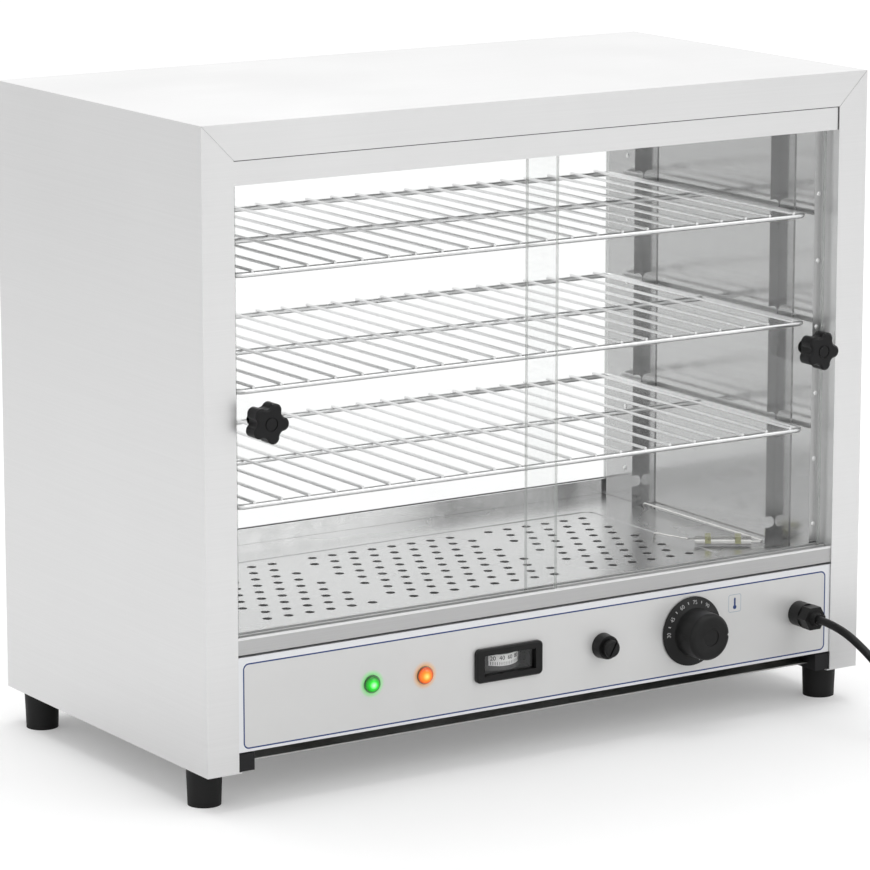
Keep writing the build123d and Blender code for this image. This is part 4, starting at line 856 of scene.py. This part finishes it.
# Racks of round wire
frame_wire = 0.0023
cross_wire = 0.0013
corner_radius = 0.007
cross_pitch = 0.025
cross_pairs = 11
frame_sink = math.cos(math.pi / 8)  # how low the flats of the solids' many-sided wires lie, per radius
cross_sink = math.cos(math.pi / 6)
arc_pull = 0.5523  # handle length of a quarter circle, per radius
for name in ("bottom_rack", "middle_rack", "top_rack"):
    rack_low, rack_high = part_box(name)
    half = (rack_high.x - rack_low.x) / 2 - frame_wire * frame_sink
    front = rack_low.y + frame_wire
    rear = rack_high.y - frame_wire
    wire_z = rack_low.z + frame_wire * frame_sink
    cross_z = rack_high.z - cross_wire * cross_sink
    curve = bpy.data.curves.new(name + "_wires", "CURVE")
    curve.dimensions = "3D"
    curve.bevel_depth = frame_wire
    curve.bevel_resolution = 4
    curve.resolution_u = 6
    curve.use_fill_caps = True
    ring = curve.splines.new("BEZIER")
    ring.bezier_points.add(7)
    pull = corner_radius * arc_pull
    ring_places = []
    corners = ((half, front, "x"), (half, rear, "y"), (-half, rear, "x"), (-half, front, "y"))
    for corner_x, corner_y, first in corners:
        into = Vector((-math.copysign(1, corner_x), 0, 0))
        along = Vector((0, 1 if corner_y == front else -1, 0))
        corner = Vector((corner_x, corner_y, wire_z))
        sides = (into, along) if first == "x" else (along, into)
        ring_places.append((corner + sides[0] * corner_radius, -sides[0], "in"))
        ring_places.append((corner + sides[1] * corner_radius, -sides[1], "out"))
    for place, (at, to_corner, side) in zip(ring.bezier_points, ring_places):
        ahead = to_corner * pull if side == "in" else -to_corner * pull
        place.co = at
        place.handle_left_type = place.handle_right_type = "FREE"
        place.handle_left = at - ahead
        place.handle_right = at + ahead
    ring.use_cyclic_u = True
    middle_y = (front + rear) / 2
    wires = [((-half, middle_y, wire_z), (half, middle_y, wire_z), 1.0)]
    for step in range(2 * cross_pairs):
        x = (step - cross_pairs + 0.5) * cross_pitch
        wires.append(((x, rack_low.y, cross_z), (x, rack_high.y, cross_z), cross_wire / frame_wire))
    for start, end, thinner in wires:
        wire = curve.splines.new("POLY")
        wire.points.add(1)
        for place, at in zip(wire.points, (start, end)):
            place.co = (*at, 1.0)
            place.radius = thinner
    rack = bpy.data.objects.new(name + "_wires", curve)
    curve.materials.append(wire_metal)
    scene.collection.objects.link(rack)
    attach(rack, "cabinet")
    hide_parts(name)

# Rivets of the side liners: one line on the front lips, one on the walls near the rear
rivet_radius = 0.0024
rivet_height = 0.0010
rivet_pitch = 0.0567
rivet_count = 7
rivet_low = 0.1542
rivet_steps = 20
rivet_rings = 5
ring_lean = 20
lip_inset = 0.0042
wall_inset = 0.029
liner_low, liner_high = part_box("right_liner")
wall_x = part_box("front_right_upright")[1].x


def rivet_head(at, out, along):
    """Points and faces of a low dome that stands out from a face, with what leaves its points in place."""
    up = out.cross(along)
    points = []
    faces = []
    for ring_step in range(rivet_rings):
        lean = math.radians(ring_step * ring_lean)
        for step in range(rivet_steps):
            angle = step * 2 * math.pi / rivet_steps
            radial = along * math.cos(angle) + up * math.sin(angle)
            from_axis = radial * rivet_radius * math.cos(lean)
            points.append(tuple(at + from_axis + out * rivet_height * math.sin(lean)))
            if ring_step:
                second = ring_step * rivet_steps
                first = second - rivet_steps
                other = (step + 1) % rivet_steps
                faces.append((first + step, first + other, second + other, second + step))
    faces.append(tuple(range(rivet_steps)))
    faces.append(tuple(range((rivet_rings - 1) * rivet_steps, rivet_rings * rivet_steps)))
    return points, faces, lambda x, y, z: (x, y, z)


for side, name in ((-1, "left_rivets"), (1, "right_rivets")):
    heads = []
    for level in range(rivet_count):
        height = rivet_low + level * rivet_pitch
        lip = Vector((side * (wall_x + lip_inset), liner_low.y, height))
        wall = Vector((side * wall_x, liner_high.y - wall_inset, height))
        heads.append(rivet_head(lip, Vector((0, -1, 0)), Vector((1, 0, 0))))
        heads.append(rivet_head(wall, Vector((-side, 0, 0)), Vector((0, 1, 0))))
    rivets = gathered(name, heads, rivet_metal)
    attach(rivets, "cabinet")


# Chamber floor: a turned-over tray with round air holes in its pressed field
sheet = 0.001
recess = 0.0006
hole_pitch = 0.020
hole_radius = 0.0040
hole_rows = 9
long_row_holes = 22
field_margin = (0.021, 0.019)
field_corner = 0.009
case_middle_y = 0.0135
field_y = case_middle_y + 0.005
capillary_hole = 0.0018
field_half = (
    (long_row_holes - 1) * hole_pitch / 2 + field_margin[0],
    (hole_rows - 1) * hole_pitch / 2 + field_margin[1],
)
hole_sides = 20
capillary_sides = 16
field_steps = 8
tray_corner = 0.0005
tray_steps = 2


def ring_points(x, y, radius, count):
    """Points round a circle."""
    turns = [step * 2 * math.pi / count for step in range(count)]
    return [(x + radius * math.cos(turn), y + radius * math.sin(turn)) for turn in turns]


def round_rectangle(x, y, half_x, half_y, corner, steps):
    """Points round a rectangle with rounded corners."""
    points = []
    for quarter, (a, b) in enumerate(((1, 1), (-1, 1), (-1, -1), (1, -1))):
        for step in range(steps + 1):
            angle = (quarter + step / steps) * math.pi / 2
            points.append((
                x + a * (half_x - corner) + corner * math.cos(angle),
                y + b * (half_y - corner) + corner * math.sin(angle),
            ))
    return points


def cut_sheet(outlines, low_z, high_z):
    """Points and faces of a flat sheet: the first outline is its edge, the others are holes in it."""
    curve = bpy.data.curves.new("cut_sheet", "CURVE")
    curve.dimensions = "2D"
    curve.fill_mode = "BOTH"
    curve.extrude = (high_z - low_z) / 2
    for outline in outlines:
        spline = curve.splines.new("POLY")
        spline.points.add(len(outline) - 1)
        for place, (x, y) in zip(spline.points, outline):
            place.co = (x, y, 0.0, 1.0)
        spline.use_cyclic_u = True
    holder = bpy.data.objects.new("cut_sheet", curve)
    mesh = bpy.data.meshes.new_from_object(holder)
    points = [tuple(vertex.co) for vertex in mesh.vertices]
    faces = [tuple(face.vertices) for face in mesh.polygons]
    bpy.data.objects.remove(holder)
    bpy.data.meshes.remove(mesh)
    return points, faces, lambda x, y, z: (x, y, z + (low_z + high_z) / 2)


tray_low, tray_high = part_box("perforated_floor")
tray_x = tray_high.x
tray_y = (tray_low.y + tray_high.y) / 2
tray_half_y = (tray_high.y - tray_low.y) / 2
tray_edge = round_rectangle(0.0, tray_y, tray_x, tray_half_y, tray_corner, tray_steps)
inner_edge = round_rectangle(0.0, tray_y, tray_x - sheet, tray_half_y - sheet, tray_corner, tray_steps)
field_edge = round_rectangle(0.0, field_y, *field_half, field_corner, field_steps)
plate_edge = round_rectangle(
    0.0, field_y, field_half[0] + sheet, field_half[1] + sheet, field_corner + sheet, field_steps,
)
plate_holes = [ring_points(field_half[0] - 0.014, case_middle_y - 0.014, capillary_hole, capillary_sides)]
for row in range(hole_rows):
    short_row = row % 2
    count = long_row_holes - short_row
    left_out = 5.0 if short_row else 4.5
    for column in range(count):
        steps_out = column - (count - 1) / 2
        if abs(steps_out) != left_out:
            hole_y = field_y + (row - (hole_rows - 1) / 2) * hole_pitch
            plate_holes.append(ring_points(steps_out * hole_pitch, hole_y, hole_radius, hole_sides))
wall_hole = ring_points(wall_x - 0.0054, case_middle_y + 0.088, capillary_hole, capillary_sides)
plate_top = tray_high.z - recess
chamber_floor = gathered("chamber_floor", [
    cut_sheet([tray_edge, field_edge, wall_hole], tray_high.z - sheet, tray_high.z),
    cut_sheet([plate_edge, *plate_holes], plate_top - sheet, plate_top),
    cut_sheet([tray_edge, inner_edge], tray_low.z, tray_high.z - sheet),
], floor_steel)
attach(chamber_floor, "cabinet")
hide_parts("perforated_floor")


# Floor, world and lamps
floor_half = 12.0
floor_white = (0.21, 0.45)  # light of the floor's own near the case and far from it
floor_reach = (0.7, 3.0)  # where it starts and stops to rise
mirrored_share = 0.1
world_light = 0.75
seen_light = 0.25
floor_mesh = bpy.data.meshes.new("studio_floor")
floor_corners = ((-1, -1), (1, -1), (1, 1), (-1, 1))
floor_mesh.from_pydata([(a * floor_half, b * floor_half, 0) for a, b in floor_corners], [], [(0, 1, 2, 3)])
floor = bpy.data.objects.new("studio_floor", floor_mesh)
scene.collection.objects.link(floor)
floor_material, floor_tree, floor_shader = new_material("studio_floor")
floor_shader.inputs["Base Color"].default_value = (0.8, 0.8, 0.8, 1.0)
floor_shader.inputs["Roughness"].default_value = 0.8
floor_shader.inputs["Specular IOR Level"].default_value = 0.1
floor_shader.inputs["Emission Color"].default_value = (1.0, 1.0, 1.0, 1.0)


def eye_and_gloss(tree):
    """Two signs of a ray: that it comes from the camera or through glass, and that it's a reflection."""
    path = node(tree, "ShaderNodeLightPath")
    straight = calc(tree, "MAXIMUM", path.outputs["Is Camera Ray"], path.outputs["Is Transmission Ray"])
    return straight, path.outputs["Is Glossy Ray"]


floor_x, floor_y, _ = coordinates(floor_tree)
floor_x = calc(floor_tree, "POWER", floor_x, 2.0)
floor_y = calc(floor_tree, "POWER", floor_y, 2.0)
floor_away = calc(floor_tree, "SQRT", calc(floor_tree, "ADD", floor_x, floor_y))
floor_eye, floor_gloss = eye_and_gloss(floor_tree)
floor_gloss = calc(floor_tree, "MULTIPLY", floor_gloss, mirrored_share)
floor_seen = calc(floor_tree, "MAXIMUM", floor_eye, floor_gloss)
floor_light = ranged(floor_tree, floor_away, *floor_white, *floor_reach)
floor_lift = calc(floor_tree, "MULTIPLY", floor_seen, floor_light)
floor_tree.links.new(floor_lift, floor_shader.inputs["Emission Strength"])
floor_mesh.materials.append(floor_material)

world = bpy.data.worlds.new("studio")
scene.world = world
world.use_nodes = True
world_tree = world.node_tree
background = world_tree.nodes["Background"]
background.inputs["Color"].default_value = (1.0, 1.0, 1.0, 1.0)
world_seen = calc(world_tree, "MAXIMUM", *eye_and_gloss(world_tree))
strength = calc(world_tree, "ADD", calc(world_tree, "MULTIPLY", world_seen, seen_light), world_light)
world_tree.links.new(strength, background.inputs["Strength"])


def area_lamp(name, place, aim, width, height, power):
    """A soft rectangular lamp that points at a place."""
    light = bpy.data.lights.new(name, "AREA")
    light.shape = "RECTANGLE"
    light.size = width
    light.size_y = height
    light.energy = power
    lamp = bpy.data.objects.new(name, light)
    lamp.location = place
    lamp.rotation_mode = "QUATERNION"
    lamp.rotation_quaternion = (Vector(aim) - Vector(place)).to_track_quat("-Z", "Y")
    scene.collection.objects.link(lamp)


case_middle = (0.0, 0.0, 0.25)
area_lamp("key", (1.6, -3.0, 2.6), case_middle, 2.4, 2.4, 24.0)
area_lamp("over", (0.1, 0.5, 3.2), case_middle, 2.6, 2.6, 48.0)
